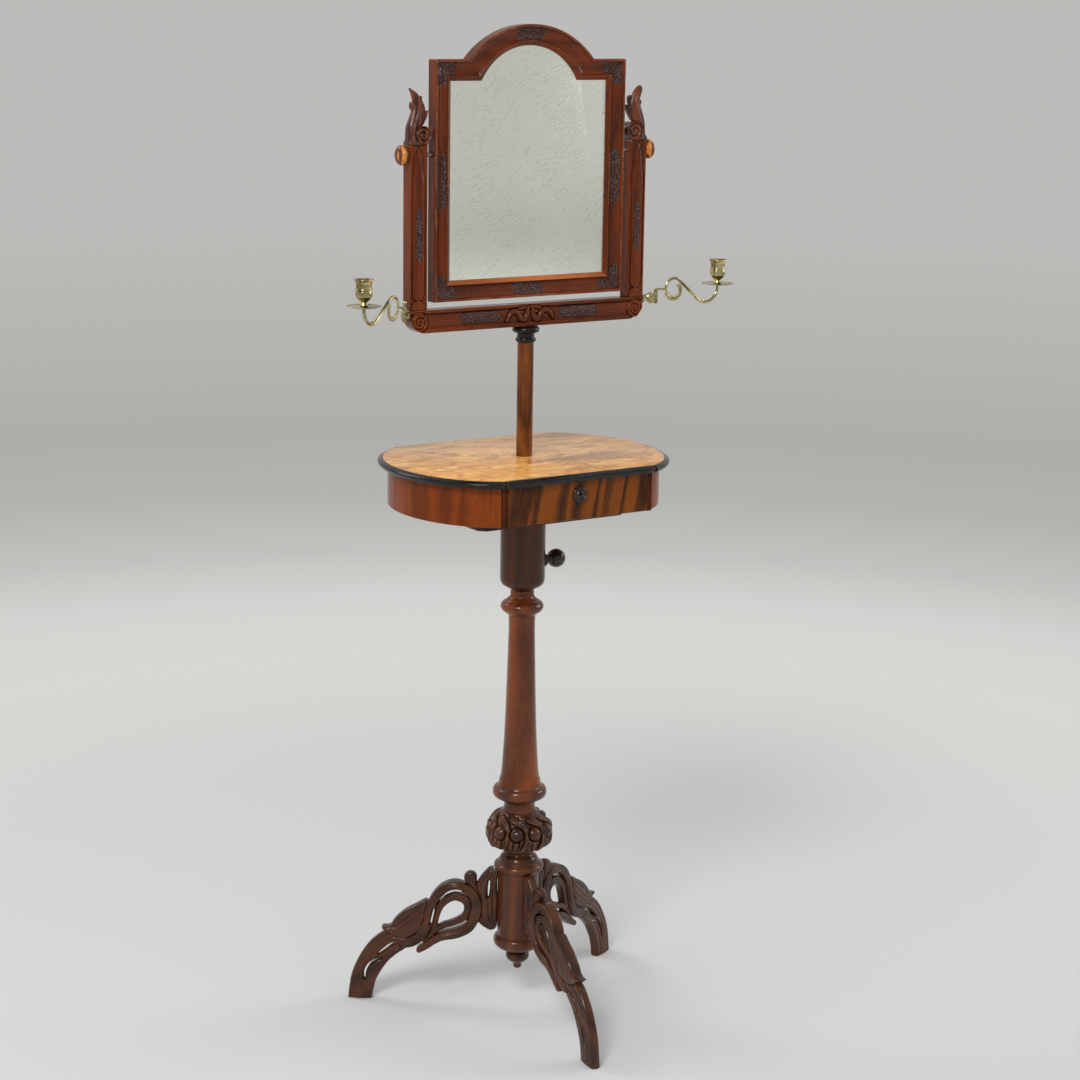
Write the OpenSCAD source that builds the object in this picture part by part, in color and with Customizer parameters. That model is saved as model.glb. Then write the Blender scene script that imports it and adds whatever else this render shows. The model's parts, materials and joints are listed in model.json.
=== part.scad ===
// Standing shaving mirror on a turned tripod column, with a small drawer table,
// a sliding pole, a swinging mirror in a harp and two hinged candle arms.
// Origin on the floor under the column, +Z up, the drawer facing -Y.

/* [Tripod] */
// Radius from the column axis to the outer edge of a foot
foot_radius = 297; // [270:1:320]
// Thickness of a leg board
leg_thickness = 20; // [16:1:24]
// How much the tripod is turned against the table
leg_turn = -6; // [-30:1:30]
// Radius of the hub that carries the legs
hub_radius = 36; // [34:0.5:40]
// Length of a leg's tongue inside the hub
tongue_depth = 11; // [8:1:14]
// Width of a leg's tongue
tongue_width = 11; // [8:1:14]

/* [Column] */
// Height of the underside of the hub's lower ring
hub_bottom = 104; // [100:1:115]
// Height of the hub's top face, where the carved knop sits
hub_top = 283; // [280:1:290]
// Height of the carved knop
knop_height = 74; // [66:1:82]
// Length of the turned shaft above the knop
shaft_length = 390; // [360:1:420]
// Height of the barrel that clamps the pole
barrel_height = 133; // [120:1:150]
// Radius of the barrel
barrel_radius = 38; // [36:0.5:44]
// Radius of the tenon that pins hub, knop and shaft together
tenon_radius = 14; // [12:0.5:16]
// How deep the tenon goes into the hub
tenon_depth = 60; // [40:1:80]

/* [Thumb screw] */
// Radius of the ball of the thumb screw
thumb_ball_radius = 16; // [12:0.5:18]
// Distance from the column axis to the middle of the ball
thumb_ball_reach = 67; // [62:1:80]
// Radius of the thumb screw's thread
thumb_screw_radius = 5; // [4:0.5:6]
// Height of the thumb screw above the foot of the barrel
thumb_screw_height = 47; // [42:1:75]
// Radius of the bush round the thumb screw
thumb_bush_radius = 12.5; // [10:0.5:15]

/* [Table] */
// Half the length of the straight front and back edges
straight_half = 144; // [136:1:152]
// Half the depth of the table panel
panel_half_depth = 170; // [160:1:185]
// How far the curved end swells past the straight part
end_swell = 93; // [80:1:105]
// Thickness of the table panel
panel_thickness = 12; // [9:1:16]
// Width of the black edge moulding
moulding_width = 9; // [7:0.5:12]
// Height of the apron under the panel
apron_height = 65; // [58:1:75]
// Thickness of the curved apron
apron_thickness = 12; // [9:1:16]
// How far the apron stands in from the panel's edge
apron_setback = 8; // [5:0.5:12]
// Thickness of the bearer board under the table
bearer_thickness = 20; // [16:1:26]
// Half the length of the bearer board
bearer_half_length = 143; // [139:1:150]
// Half the width of the bearer board
bearer_half_width = 98; // [80:1:120]
// Width of the beaded strip at a front corner
bead_strip_width = 9; // [7:0.5:12]

/* [Drawer] */
// Thickness of the drawer front
drawer_front_thickness = 14; // [11:1:18]
// Thickness of the drawer sides and back
drawer_side_thickness = 8; // [6:0.5:10]
// Depth of the drawer behind its front
drawer_depth = 116; // [100:1:122]
// Height of the drawer sides
drawer_side_height = 48; // [40:1:52]
// Thickness of the drawer bottom
drawer_bottom_thickness = 5; // [4:0.5:7]
// Gap round the drawer
drawer_gap = 0.5; // [0.4:0.1:1]
// Radius of the turned escutcheon
escutcheon_radius = 13.5; // [11:0.5:16]

/* [Pole] */
// Radius of the sliding pole
pole_radius = 13.4; // [12:0.1:14]
// Length of the pole that shows above the table
pole_shown = 191; // [120:1:260]
// Length of the pole inside the table and the column
pole_hidden = 360; // [320:1:400]
// Running clearance between the pole and its bore
pole_clearance = 0.08; // [0.05:0.01:0.1]
// Height of the black collar
collar_height = 27; // [22:1:34]
// Radius of the pin on which the harp turns
swivel_pin_radius = 8; // [6:0.5:9]
// Length of the pin on which the harp turns
swivel_pin_length = 24; // [18:1:28]

/* [Harp] */
// Gap between the mirror frame and a post
mirror_gap = 13; // [9:0.5:20]
// Width of a post
post_width = 32; // [28:1:40]
// Depth of the posts and the rail
harp_depth = 26; // [24:1:32]
// Distance from the pole axis to the front of the harp
harp_front = 14; // [13:0.5:16]
// Height of the rail
rail_height = 37; // [34:1:44]
// Length of a post above the rail
post_length = 261; // [255:1:290]
// Radius of the rounded lower corner of the rail
rail_corner_radius = 28; // [20:1:32]
// How far the tilt pivots sit below the top of a post
pivot_drop = 16; // [12:1:24]
// Radius of the carved volute on a post
volute_radius = 15; // [12:0.5:16]

/* [Mirror] */
// Half the width of the mirror frame
frame_half_width = 181; // [174:1:188]
// Width of the frame's moulding
frame_member = 33; // [28:1:38]
// Depth of the frame
frame_depth = 22; // [20:1:26]
// Gap between the mirror frame and the rail
frame_lift = 11; // [8:1:14]
// Height of the frame from its bottom to its shoulders
frame_shoulder = 382; // [360:1:390]
// Rise of the arch above the shoulders
arch_rise = 55; // [45:1:62]
// Outer radius of the arch
arch_outer_radius = 155; // [145:1:165]
// Radius of the arch at the glass
arch_inner_radius = 101.5; // [96:0.5:106]
// Thickness of the mirror glass
glass_thickness = 3; // [2:0.5:4]
// Thickness of the backboard
backboard_thickness = 6; // [4:0.5:8]
// How far glass and backboard reach under the frame's lip
rebate_width = 7; // [5:0.5:9]
// Radius of the tilt screws
tilt_screw_radius = 3.5; // [3:0.1:4.5]
// Radius of a tilt knob
tilt_knob_radius = 16; // [13:0.5:19]
// Thickness of a tilt knob
tilt_knob_thickness = 18; // [14:1:22]
// Outer radius of the pivot bushes in the mirror frame
pivot_bush_radius = 6; // [5.5:0.1:7]

/* [Candle arms] */
// Distance from an arm's hinge to the middle of its drip pan
arm_reach = 130; // [120:1:145]
// Height of the arm's bar above the foot of the rail
arm_height = 45; // [42:1:60]
// Distance from a post to the pin on which a hinge link swings
link_standoff = 6.5; // [6:0.5:9]
// Length of a hinge link between its two pins
link_length = 27.5; // [24:0.5:34]
// Height of the block of a hinge link
link_height = 19; // [16:0.5:22]
// Radius of the eyes round the link pin
eye_radius = 4; // [3.5:0.1:4.5]
// Height of one of the two eyes round the link pin
eye_height = 6; // [5:0.5:7]
// Radius of the hinge barrel that carries an arm
hinge_barrel_radius = 3.4; // [3:0.1:4]
// Radius of the pins of the candle arms
hinge_pin_radius = 1.8; // [1.5:0.1:2.1]
// Radius of the brass rod that an arm is bent from
rod_radius = 2; // [1.6:0.1:2.4]
// Radius of the upper bend of an arm's scroll
ring_radius = 17.5; // [15:0.5:19]
// Radius of the bend under the drip pan
low_radius = 25; // [22:0.5:28]
// Radius of the drip pan
pan_radius = 27.5; // [24:0.5:32]
// Height of a candle cup
cup_height = 41; // [36:1:48]
// Radius of the bore that holds a candle
candle_bore_radius = 11.2; // [10.5:0.1:12]
// Depth of the bore that holds a candle
candle_bore_depth = 26; // [20:1:30]
// Radius of the screws that hold a bracket to the rail
bracket_screw_radius = 1.2; // [1:0.1:1.5]
// How far the left link is swung forward
left_link_swing = 65; // [0:1:70]
// How far the left arm points forward of the side
left_arm_swing = 32; // [0:1:60]
// Height that the left arm is bent up by, at its cup
left_arm_rise = 13; // [0:0.5:16]

/* [Clearances] */
// Running clearance of pins in their bores
pin_clearance = 0.06; // [0.03:0.01:0.1]
// Gap between pieces that move past each other
seat_gap = 0.3; // [0.2:0.05:0.5]

/* [Hidden] */
$fn = 48;

walnut = "#5a2f1c";
dark_walnut = "#3d2216";
red_walnut = "#6b3019";
burl = "#c98a45";
veneer = "#7a4420";
ebony = "#1c1b1d";
pine = "#c9a06a";
brass = "#a8925a";
iron = "#5d5a56";
light_wood = "#b07a3a";
silvering = "#b9bcb8";

// Length of solid wood in the shaft under the bore for the pole
shaft_solid = 68;

// How far the round end of a carved strand stands out past its sides
strand_lap = 0.05;

// Heights of the stacked column
knop_top = hub_top + knop_height;
shaft_top = knop_top + shaft_length;
barrel_top = shaft_top + barrel_height;
thumb_z = shaft_top + thumb_screw_height;
bearer_top = barrel_top + bearer_thickness;
apron_top = bearer_top + apron_height;
table_top = apron_top + panel_thickness;
collar_bottom = table_top + pole_shown;
collar_top = collar_bottom + collar_height;
pole_bottom = table_top - pole_hidden;
bore_bottom = knop_top + shaft_solid;
bore_radius = pole_radius + pole_clearance;

// Plan of the table: each end is an arc of an ellipse
end_depth = panel_half_depth * 1.07;
corner_angle = asin(panel_half_depth / end_depth);
end_length = end_swell / (1 - cos(corner_angle));
end_centre = straight_half - end_length * cos(corner_angle);
apron_half_depth = panel_half_depth - 2;
guide_inner = straight_half - bead_strip_width + drawer_gap;
drawer_half = guide_inner - drawer_gap;
drawer_face = -apron_half_depth;
drawer_back_y = drawer_face + drawer_front_thickness + drawer_depth;
guide_thickness = straight_half - guide_inner;
runner_height = 8;
drawer_floor = bearer_top + runner_height + seat_gap;
lock_z = bearer_top + apron_height * 0.64;
lock_half = 21;

// Places in the harp and the mirror
rail_bottom = collar_top + seat_gap;
rail_top = rail_bottom + rail_height;
harp_back = harp_depth - harp_front;
harp_middle = harp_depth / 2 - harp_front;
harp_half_width = frame_half_width + mirror_gap + post_width;
post_centre = harp_half_width - post_width / 2;
post_top = rail_top + post_length;
pivot_z = post_top - pivot_drop;
frame_bottom = rail_top + frame_lift;
frame_front = harp_middle - frame_depth / 2;
sight_half = frame_half_width - frame_member;
shoulder_z = frame_bottom + frame_shoulder;
inner_shoulder_z = shoulder_z - frame_member - 1;
arch_top = shoulder_z + arch_rise;
sight_top = arch_top - frame_member - 0.5;
glass_front = frame_front + 10;
glass_back = glass_front + glass_thickness;

// Places in the candle arms
link_x = harp_half_width + link_standoff;
bar_z = rail_bottom + arm_height;
link_top = bar_z - 3.5;
link_low = link_top - link_height;
eye_low = link_low + (link_height - 2 * eye_height - seat_gap) / 2;
// Height of a cup's foot above the bar of its arm
cup_seat = 4.4;
// Radius of the brazed beads between the bends of an arm
braze_radius = rod_radius + 0.3;

// Points of a circular arc
function arc(centre, radius, from, to, steps = 8) =
    [for (i = [0 : steps]) let (a = from + (to - from) * i / steps)
        centre + radius * [cos(a), sin(a)]];

// One point of a smooth curve through hand points
function curve_point(a, b, c, d, t) =
    0.5 * (2 * b + (c - a) * t + (2 * a - 5 * b + 4 * c - d) * t * t
        + (3 * b - 3 * c + d - a) * t * t * t);

// A smooth curve through hand points, with some steps between each pair
function curve(points, steps = 3) =
    let (last = len(points) - 1)
    concat(
        [for (i = [0 : last - 1], j = [0 : steps - 1])
            curve_point(points[max(i - 1, 0)], points[i], points[i + 1],
                points[min(i + 2, last)], j / steps)],
        [points[last]]);

// A convex half-round moulding on a turned profile
function bead(radius, low, high, swell, steps = 8) =
    [for (i = [0 : steps]) let (a = -90 + 180 * i / steps)
        [radius + swell * cos(a), (low + high) / 2 + (high - low) / 2 * sin(a)]];

// A hollow between two radii on a turned profile
function cove(low_r, low, high_r, high, sink, steps = 8) =
    [for (i = [0 : steps]) let (t = i / steps)
        [low_r + (high_r - low_r) * t - sink * sin(180 * t), low + (high - low) * t]];

// The side directions of a strand at each of its points
function side_of(points, i) =
    let (last = len(points) - 1, a = points[max(i - 1, 0)], b = points[min(i + 1, last)],
        d = [b.x - a.x, b.y - a.y]) [-d.y, d.x] / norm(d);

// A solid of revolution from a profile that starts and ends on the axis
module turned(profile) {
    last = len(profile) - 1;
    rotate_extrude() polygon(concat([[0, profile[0].y]], profile, [[0, profile[last].y]]));
}

// A carved strap: points give place and half width, its ends are round
module strand(points, steps = 3) {
    line = curve(points, steps);
    last = len(line) - 1;
    polygon(concat(
        [for (i = [0 : last]) [line[i].x, line[i].y] + line[i].z * side_of(line, i)],
        [for (i = [last : -1 : 0]) [line[i].x, line[i].y] - line[i].z * side_of(line, i)]));
    for (end = [line[0], line[last]]) translate([end.x, end.y])
        circle(r = end.z + strand_lap, $fn = 24);
}

// A solid through a row of closed sections, with flat ends
module loft(rings) {
    n = len(rings[0]);
    m = len(rings);
    points = [for (ring = rings) each ring];
    sides = [for (i = [0 : m - 2], j = [0 : n - 1]) let (k = (j + 1) % n) each
        [[i * n + j, (i + 1) * n + k, i * n + k], [i * n + j, (i + 1) * n + j, (i + 1) * n + k]]];
    caps = [[for (j = [0 : n - 1]) j], [for (j = [n - 1 : -1 : 0]) (m - 1) * n + j]];
    polyhedron(points, concat(sides, caps));
}

// Puts a shape drawn in the X and Z plane upright, with its thickness centred on y
module upright(thickness, y = 0) {
    translate([0, y + thickness / 2, 0]) rotate([90, 0, 0]) linear_extrude(thickness) children();
}

// Leg strands: distance from the axis, height, half width
leg_shank = [[276, -8, 21.5], [276, 4, 21.5], [270, 38, 22.5], [259, 63, 23.5], [244, 86, 24],
    [227, 102, 24], [207, 114, 22], [186, 125, 17]];
leg_leaf = [[161, 180, 7], [170, 163, 17], [184, 148, 23], [199, 137, 21], [212, 131, 13],
    [225, 130, 7], [236, 133, 2.5]];
leg_strap = [[198, 104, 7], [184, 109, 9], [168, 122, 9], [157, 145, 8.5], [153, 168, 8],
    [145, 191, 8.5], [131, 207, 9], [113, 215, 9], [96, 212, 9], [80, 202, 9], [72, 182, 9],
    [75, 159, 9.5], [86, 139, 9.5], [107, 127, 9], [131, 121, 8], [147, 112, 7], [159, 103, 6.7],
    [172, 94, 5.5]];
leg_inner_strap = [[159, 109, 7.5], [149, 132, 7], [143, 157, 7], [135, 177, 7], [120, 191, 7.5],
    [106, 194, 7.5], [91, 187, 7.5], [87, 172, 7.5], [94, 157, 7], [111, 148, 5], [133, 143, 3]];
leg_plate = [[46, 240, 11], [54, 219, 17.5], [56, 190, 21], [55, 164, 20], [47, 146, 11]];
leg_bud = [[74, 205, 6], [79, 218, 7.5], [83, 230, 12]];
leg_slits = [
    [[127, 198, 2.4], [119, 204, 2.6], [106, 206, 2.6], [90, 204, 1.2]],
    [[145, 172, 1.4], [149, 157, 2.2], [152, 140, 2.4]],
    [[50, 226, 1.6], [51, 213, 3.2], [52, 196, 1.4]],
    [[244, 84, 2.6], [233, 93, 3.3], [222, 102, 3], [211, 107, 1.2]],
    [[268, 37, 2.6], [267, 51, 3], [260, 64, 3], [249, 72, 2.4], [239, 76, 1.2]]];
// How far the strap and the leaf stand out from each side of a leg
leg_relief = 2;
// Foot radius and hub radius at which the strands are drawn
leg_drawn_radius = 297;
leg_drawn_hub = 36;

// Stretches a leg's drawing between the hub and the foot
module leg_drawing() {
    translate([hub_radius, 0])
        scale([(foot_radius - hub_radius) / (leg_drawn_radius - leg_drawn_hub), 1])
            translate([-leg_drawn_hub, 0]) children();
}

module leg(direction) {
    rotate(direction + leg_turn) color(dark_walnut) difference() {
        union() {
            intersection() {
                upright(leg_thickness) leg_drawing() {
                    strand(leg_shank);
                    strand(leg_inner_strap);
                    strand(leg_plate);
                    strand(leg_bud);
                }
                translate([0, -leg_thickness, 0]) cube([foot_radius + 20, 2 * leg_thickness, 300]);
            }
            upright(leg_thickness + 2 * leg_relief) leg_drawing() {
                strand(leg_strap);
                strand(leg_leaf);
            }
        }
        upright(2 * leg_thickness) leg_drawing() for (slit = leg_slits) strand(slit);
        translate([0, 0, hub_bottom]) cylinder(r = hub_radius, h = hub_top - hub_bottom);
        translate([0, 0, hub_top - 38.2]) cylinder(r = hub_radius + 8, h = 30);
    }
    rotate(direction + leg_turn) color(dark_walnut)
        translate([hub_radius - tongue_depth, -tongue_width / 2, hub_bottom + 44])
            cube([tongue_depth + 3, tongue_width, 88]);
}

module leg_front() { leg(-90); }
module leg_left() { leg(150); }
module leg_back() { leg(30); }

module hub() {
    color(walnut) difference() {
        turned(concat(
            [[28, hub_bottom], [33, hub_bottom + 2]],
            bead(hub_radius, hub_bottom + 6, hub_bottom + 30, 7),
            [[hub_radius, hub_top - 40]],
            bead(hub_radius, hub_top - 38, hub_top - 16, 7.5),
            [[hub_radius + 2, hub_top - 14]],
            cove(hub_radius + 1, hub_top - 13, 29, hub_top, 2.5)));
        for (direction = [-90, 30, 150]) rotate(direction + leg_turn)
            translate([hub_radius - tongue_depth - 0.05, -tongue_width / 2 - 0.05, hub_bottom + 43.9])
                cube([20, tongue_width + 0.1, 88.2]);
        translate([0, 0, hub_top - tenon_depth]) cylinder(r = tenon_radius, h = tenon_depth + 1);
        translate([0, 0, hub_bottom - 1]) cylinder(r = 8, h = 15);
    }
}

module drop_finial() {
    color(dark_walnut) turned(concat(
        [[0.5, hub_bottom - 39], [3.5, hub_bottom - 37], [4.5, hub_bottom - 34]],
        cove(5, hub_bottom - 33, 13, hub_bottom - 26, -1),
        arc([9, hub_bottom - 17], 12, -40, 60),
        [[12, hub_bottom - 5], [15, hub_bottom - 3], [15, hub_bottom],
            [8, hub_bottom], [8, hub_bottom + 13]]));
}

// Number of fruits, and of leaves between them, round the knop
knop_fruits = 10;

module carved_knop() {
    color(dark_walnut) difference() {
        union() {
            translate([0, 0, hub_top]) turned(concat(
                [[29, 0], [29, 2]],
                curve([[34, 5], [44, 8], [50, 13], [51, 22], [50, 34], [46, 46], [40, 56], [35, 63]], 3),
                [[28, 64]],
                bead(29, knop_height - 9, knop_height, 4, 6)));
            for (i = [1 : knop_fruits]) rotate(360 / knop_fruits * i + 12) {
                translate([44, 0, hub_top + 27]) sphere(r = 12, $fn = 24);
                rotate(180 / knop_fruits) translate([42, 0, hub_top + 18]) sphere(r = 12, $fn = 24);
                rotate(180 / knop_fruits) translate([36, 0, hub_top + 50]) sphere(r = 13, $fn = 24);
            }
        }
        translate([0, 0, hub_top - 20]) cylinder(r = tenon_radius, h = knop_height + 40);
    }
}

module column_shaft() {
    z = knop_top;
    t = shaft_top;
    length = shaft_length;
    taper = curve([[34.5, z + 58], [32, z + 70], [29, z + 0.287 * length], [26.4, z + 0.436 * length],
        [24.4, z + 0.615 * length], [22.8, z + 0.77 * length], [22.3, t - 62], [22.8, t - 43]], 4);
    color(walnut) difference() {
        turned(concat(
            [[tenon_radius, hub_top - tenon_depth], [tenon_radius, z], [29, z]],
            cove(29, z + 1, 30, z + 21, 3),
            [[36, z + 23]],
            bead(39, z + 24, z + 44, 7.6),
            cove(38, z + 46, 35, z + 57, 0.6, 4),
            taper,
            [[26.5, t - 40], [27.9, t - 39]],
            curve([[28.5, t - 38], [33.5, t - 35], [36.5, t - 28], [33.5, t - 21], [27.6, t - 18]], 3),
            cove(27, t - 17, 20, t - 8, 1.5, 4),
            [[20, t]]));
        translate([0, 0, bore_bottom]) cylinder(r = pole_radius + 1, h = t - bore_bottom + 1);
    }
}

module column_barrel() {
    round = 8.5;
    color(walnut) difference() {
        union() {
            translate([0, 0, shaft_top]) turned(concat(
                cove(20, 0, barrel_radius - round, 7, 1.5, 5),
                [for (i = [0 : 6]) [barrel_radius - round * (1 - sin(15 * i)), 21 - 13 * cos(15 * i)]],
                [[barrel_radius, barrel_height]]));
            translate([0, 0, barrel_top - 1]) cylinder(r = 24, h = bearer_thickness - 3);
        }
        translate([0, 0, shaft_top - 1]) cylinder(r = bore_radius, h = barrel_height + 40);
        translate([0, 0, thumb_z]) rotate([0, 90, 0])
            cylinder(r = thumb_screw_radius + pin_clearance, h = 80);
    }
}

module thumb_bush() {
    color(ebony) difference() {
        translate([barrel_radius - 3, 0, thumb_z]) rotate([0, 90, 0]) turned(concat(
            [[thumb_bush_radius, 0], [thumb_bush_radius, 5]],
            bead(thumb_bush_radius - 3, 5, 9, 3, 6), [[8, 9.5]]));
        cylinder(r = barrel_radius + 0.05, h = barrel_top);
        translate([0, 0, thumb_z]) rotate([0, 90, 0])
            cylinder(r = thumb_screw_radius + pin_clearance, h = 80);
    }
}

module thumb_screw() {
    start = barrel_radius + 6.5 + seat_gap;
    color(ebony) translate([0, 0, thumb_z]) rotate([0, 90, 0]) turned(concat(
        [[thumb_screw_radius, pole_radius + 0.5], [thumb_screw_radius, start]],
        [[9, start], [9, start + 2]],
        cove(8.5, start + 2, 8.5, thumb_ball_reach - 11, 1.5, 4),
        arc([0, thumb_ball_reach], thumb_ball_radius, -48, 78, 10),
        [[3, thumb_ball_reach + thumb_ball_radius]]));
}

module bearer_board() {
    color(walnut) difference() {
        translate([-bearer_half_length, -bearer_half_width, barrel_top])
            cube([2 * bearer_half_length, 2 * bearer_half_width, bearer_thickness]);
        for (x = [-1, 1], y = [-1, 1]) translate([x * bearer_half_length, y * bearer_half_width, barrel_top])
            rotate(45) cube([18, 18, 16], center = true);
        translate([0, 0, barrel_top - 1]) cylinder(r = 24, h = bearer_thickness - 3);
        cylinder(r = pole_radius + 1, h = table_top);
        screw_places() translate([0, 0, -5]) cylinder(r = 2.5, h = 60);
        screw_places() translate([0, 0, -5]) cylinder(r = 5, h = 8);
    }
}

module screw_places() {
    for (x = [-1, 1], y = [-1, 1])
        translate([x * (guide_inner + guide_thickness / 2), y * (bearer_half_width - 30), barrel_top])
            children();
}

module bearer_screws() {
    color(iron) screw_places() difference() {
        union() {
            translate([0, 0, 0.5]) cylinder(r = 4.9, h = 2.5);
            translate([0, 0, 2]) cylinder(r = 2.4, h = bearer_thickness + 16);
        }
        translate([-6, -0.6, 0]) cube([12, 1.2, 1.6]);
    }
}

// Point on the curved end of the table, grown outwards by some amount
function end_point(angle, grow) =
    [end_centre + (end_length + grow) * cos(angle), (end_depth + grow) * sin(angle)];
function end_line(grow, side = 1, steps = 28) =
    [for (i = [0 : steps]) let (p = end_point(side * corner_angle * (2 * i / steps - 1), grow))
        [side * p.x, p.y]];

// Plan of the panel: both curved ends, joined by the straight edges
module panel_plan() {
    polygon(concat(end_line(0), end_line(0, -1)));
}

module apron_end(side) {
    color(veneer) difference() {
        translate([0, 0, bearer_top]) linear_extrude(apron_height)
            polygon(concat(end_line(-apron_setback, side),
                [for (i = [len(end_line(0)) - 1 : -1 : 0])
                    end_line(-apron_setback - apron_thickness, side)[i]]));
        translate([-straight_half, -300, bearer_top - 1])
            cube([2 * straight_half, 600, apron_height + 2]);
        translate([-400, apron_half_depth, bearer_top - 1]) cube([800, 40, apron_height + 2]);
        translate([-400, -apron_half_depth - 40, bearer_top - 1]) cube([800, 40, apron_height + 2]);
    }
}

module apron_left() { apron_end(-1); }
module apron_right() { apron_end(1); }

module apron_back() {
    color(veneer) translate([-straight_half, apron_half_depth - apron_thickness, bearer_top])
        cube([2 * straight_half, apron_thickness, apron_height]);
}

module guide(side) {
    color(pine) difference() {
        translate([side > 0 ? guide_inner : -guide_inner - guide_thickness,
            -apron_half_depth + 4, bearer_top])
            cube([guide_thickness, 2 * apron_half_depth - apron_thickness - 4, apron_height]);
        screw_places() translate([0, 0, 2]) cylinder(r = 2.4, h = bearer_thickness + 16.2);
    }
}

module guide_left() { guide(-1); }
module guide_right() { guide(1); }

module stop_board() {
    color(pine) translate([-guide_inner, drawer_back_y + 2, bearer_top])
        cube([2 * guide_inner, 7, apron_height]);
}

module drawer_runners() {
    for (side = [-1, 1]) color(pine)
        translate([side > 0 ? guide_inner - 12 : -guide_inner,
            drawer_face + drawer_front_thickness + seat_gap, bearer_top])
            cube([12, drawer_depth + 2 - seat_gap, runner_height]);
}

module corner_beads() {
    width = bead_strip_width - drawer_gap;
    for (side = [-1, 1]) color(veneer)
        translate([side * (straight_half - width / 2), -apron_half_depth, bearer_top])
            linear_extrude(apron_height) union() {
                translate([-width / 2, 0.8]) square([width, 3.2]);
                for (x = [-1, 1]) translate([x * width / 4, 1.2]) circle(r = width / 4 - 0.2);
            }
}

module table_panel() {
    color(burl) difference() {
        translate([0, 0, apron_top]) linear_extrude(panel_thickness) panel_plan();
        cylinder(r = pole_radius + seat_gap, h = table_top + 1);
    }
}

// Section of the black edge moulding: distance from the panel's edge, height
function moulding_section() = let (w = moulding_width, h = panel_thickness)
    concat([[0, 0], [w - 3.5, 0], [w - 2.5, 1.8], [w - 1.2, 2.2]],
        arc([w - 3.2, 6], 3.2, -50, 75, 6), [[w - 5.5, h - 1], [1.5, h - 0.5], [0, h - 0.5]]);

module moulding_end(side) {
    steps = 28;
    rings = [for (i = [0 : steps]) let (a = corner_angle * (2 * i / steps - 1))
        [for (q = moulding_section()) let (p = end_point(a, q.x))
            [side * p.x, side * p.y, apron_top + q.y]]];
    color(ebony) loft(rings);
}

module moulding_left() { moulding_end(-1); }
module moulding_right() { moulding_end(1); }

module moulding_straight() {
    half = straight_half;
    color(ebony) difference() {
        translate([-half, -panel_half_depth, apron_top]) rotate([90, 0, 90])
            linear_extrude(2 * half) polygon([for (q = moulding_section()) [-q.x, q.y]]);
        for (side = [-1, 1]) translate([side * half, -panel_half_depth - moulding_width, apron_top])
            rotate(45) cube([4, 4, 60], center = true);
    }
}

module moulding_front() { moulding_straight(); }
module moulding_back() { rotate(180) moulding_straight(); }

// Keyhole drawn in the X and Z plane, its round part at the origin
module keyhole() {
    circle(r = 2.6);
    translate([-1.3, -8]) square([2.6, 8]);
}

module drawer_front() {
    low = bearer_top + drawer_gap;
    color(veneer) difference() {
        translate([-drawer_half + drawer_gap, drawer_face, low])
            cube([2 * (drawer_half - drawer_gap), drawer_front_thickness, apron_height - 2 * drawer_gap]);
        translate([0, 0, lock_z]) upright(60, drawer_face) keyhole();
        translate([-lock_half, drawer_face + drawer_front_thickness - 3, lock_z - 18])
            cube([2 * lock_half, 10, 60]);
    }
}

module lock_case() {
    color(iron) difference() {
        union() {
            translate([-lock_half + 0.1, drawer_face + drawer_front_thickness - 3, lock_z - 17.9])
                cube([2 * lock_half - 0.2, 9, 35]);
            translate([-lock_half + 6, drawer_face + drawer_front_thickness + 2, lock_z + 17])
                cube([12, 3.5, 2.5]);
        }
        translate([0, 0, lock_z]) upright(60, drawer_face) keyhole();
    }
}

module escutcheon() {
    r = escutcheon_radius;
    color(ebony) difference() {
        translate([0, drawer_face, lock_z]) rotate([90, 0, 0]) turned(concat(
            [[r, 0], [r, 1]], bead(r - 2.4, 1, 4.4, 2.4, 6), [[r - 4.5, 3.4]],
            bead(r - 7.5, 3, 4.6, 1.2, 4), [[3, 3.2]]));
        translate([0, 0, lock_z]) upright(60, drawer_face) keyhole();
    }
}

module drawer_side(side) {
    inner = drawer_half - drawer_gap - drawer_side_thickness;
    color(pine) translate([side > 0 ? inner : -inner - drawer_side_thickness,
        drawer_face + drawer_front_thickness, drawer_floor])
        cube([drawer_side_thickness, drawer_depth, drawer_side_height]);
}

module drawer_side_left() { drawer_side(-1); }
module drawer_side_right() { drawer_side(1); }

module drawer_back() {
    inner = drawer_half - drawer_gap - drawer_side_thickness;
    color(pine) translate([-inner, drawer_back_y - drawer_side_thickness,
        drawer_floor + 2 + drawer_bottom_thickness])
        cube([2 * inner, drawer_side_thickness, drawer_side_height - 2 - drawer_bottom_thickness]);
}

module drawer_bottom() {
    inner = drawer_half - drawer_gap - drawer_side_thickness;
    color(pine) translate([-inner, drawer_face + drawer_front_thickness, drawer_floor + 2])
        cube([2 * inner, drawer_depth, drawer_bottom_thickness]);
}

module pole() {
    color(red_walnut) turned([[pole_radius - 2, pole_bottom], [pole_radius, pole_bottom + 2],
        [pole_radius, collar_bottom], [swivel_pin_radius, collar_bottom],
        [swivel_pin_radius, collar_top + swivel_pin_length - 1],
        [swivel_pin_radius - 1, collar_top + swivel_pin_length]]);
}

module collar() {
    color(ebony) difference() {
        translate([0, 0, collar_bottom]) turned(concat(
            [[pole_radius + 1.5, 0]], bead(pole_radius + 1.8, 0.5, 7, 1.8, 6),
            cove(pole_radius + 1.2, 8, pole_radius + 2, 15, 0.8, 4),
            bead(17.5, 15.5, collar_height - 1, 5.2), [[19, collar_height]]));
        translate([0, 0, collar_bottom - 1]) cylinder(r = swivel_pin_radius, h = collar_height + 2);
    }
}

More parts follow.
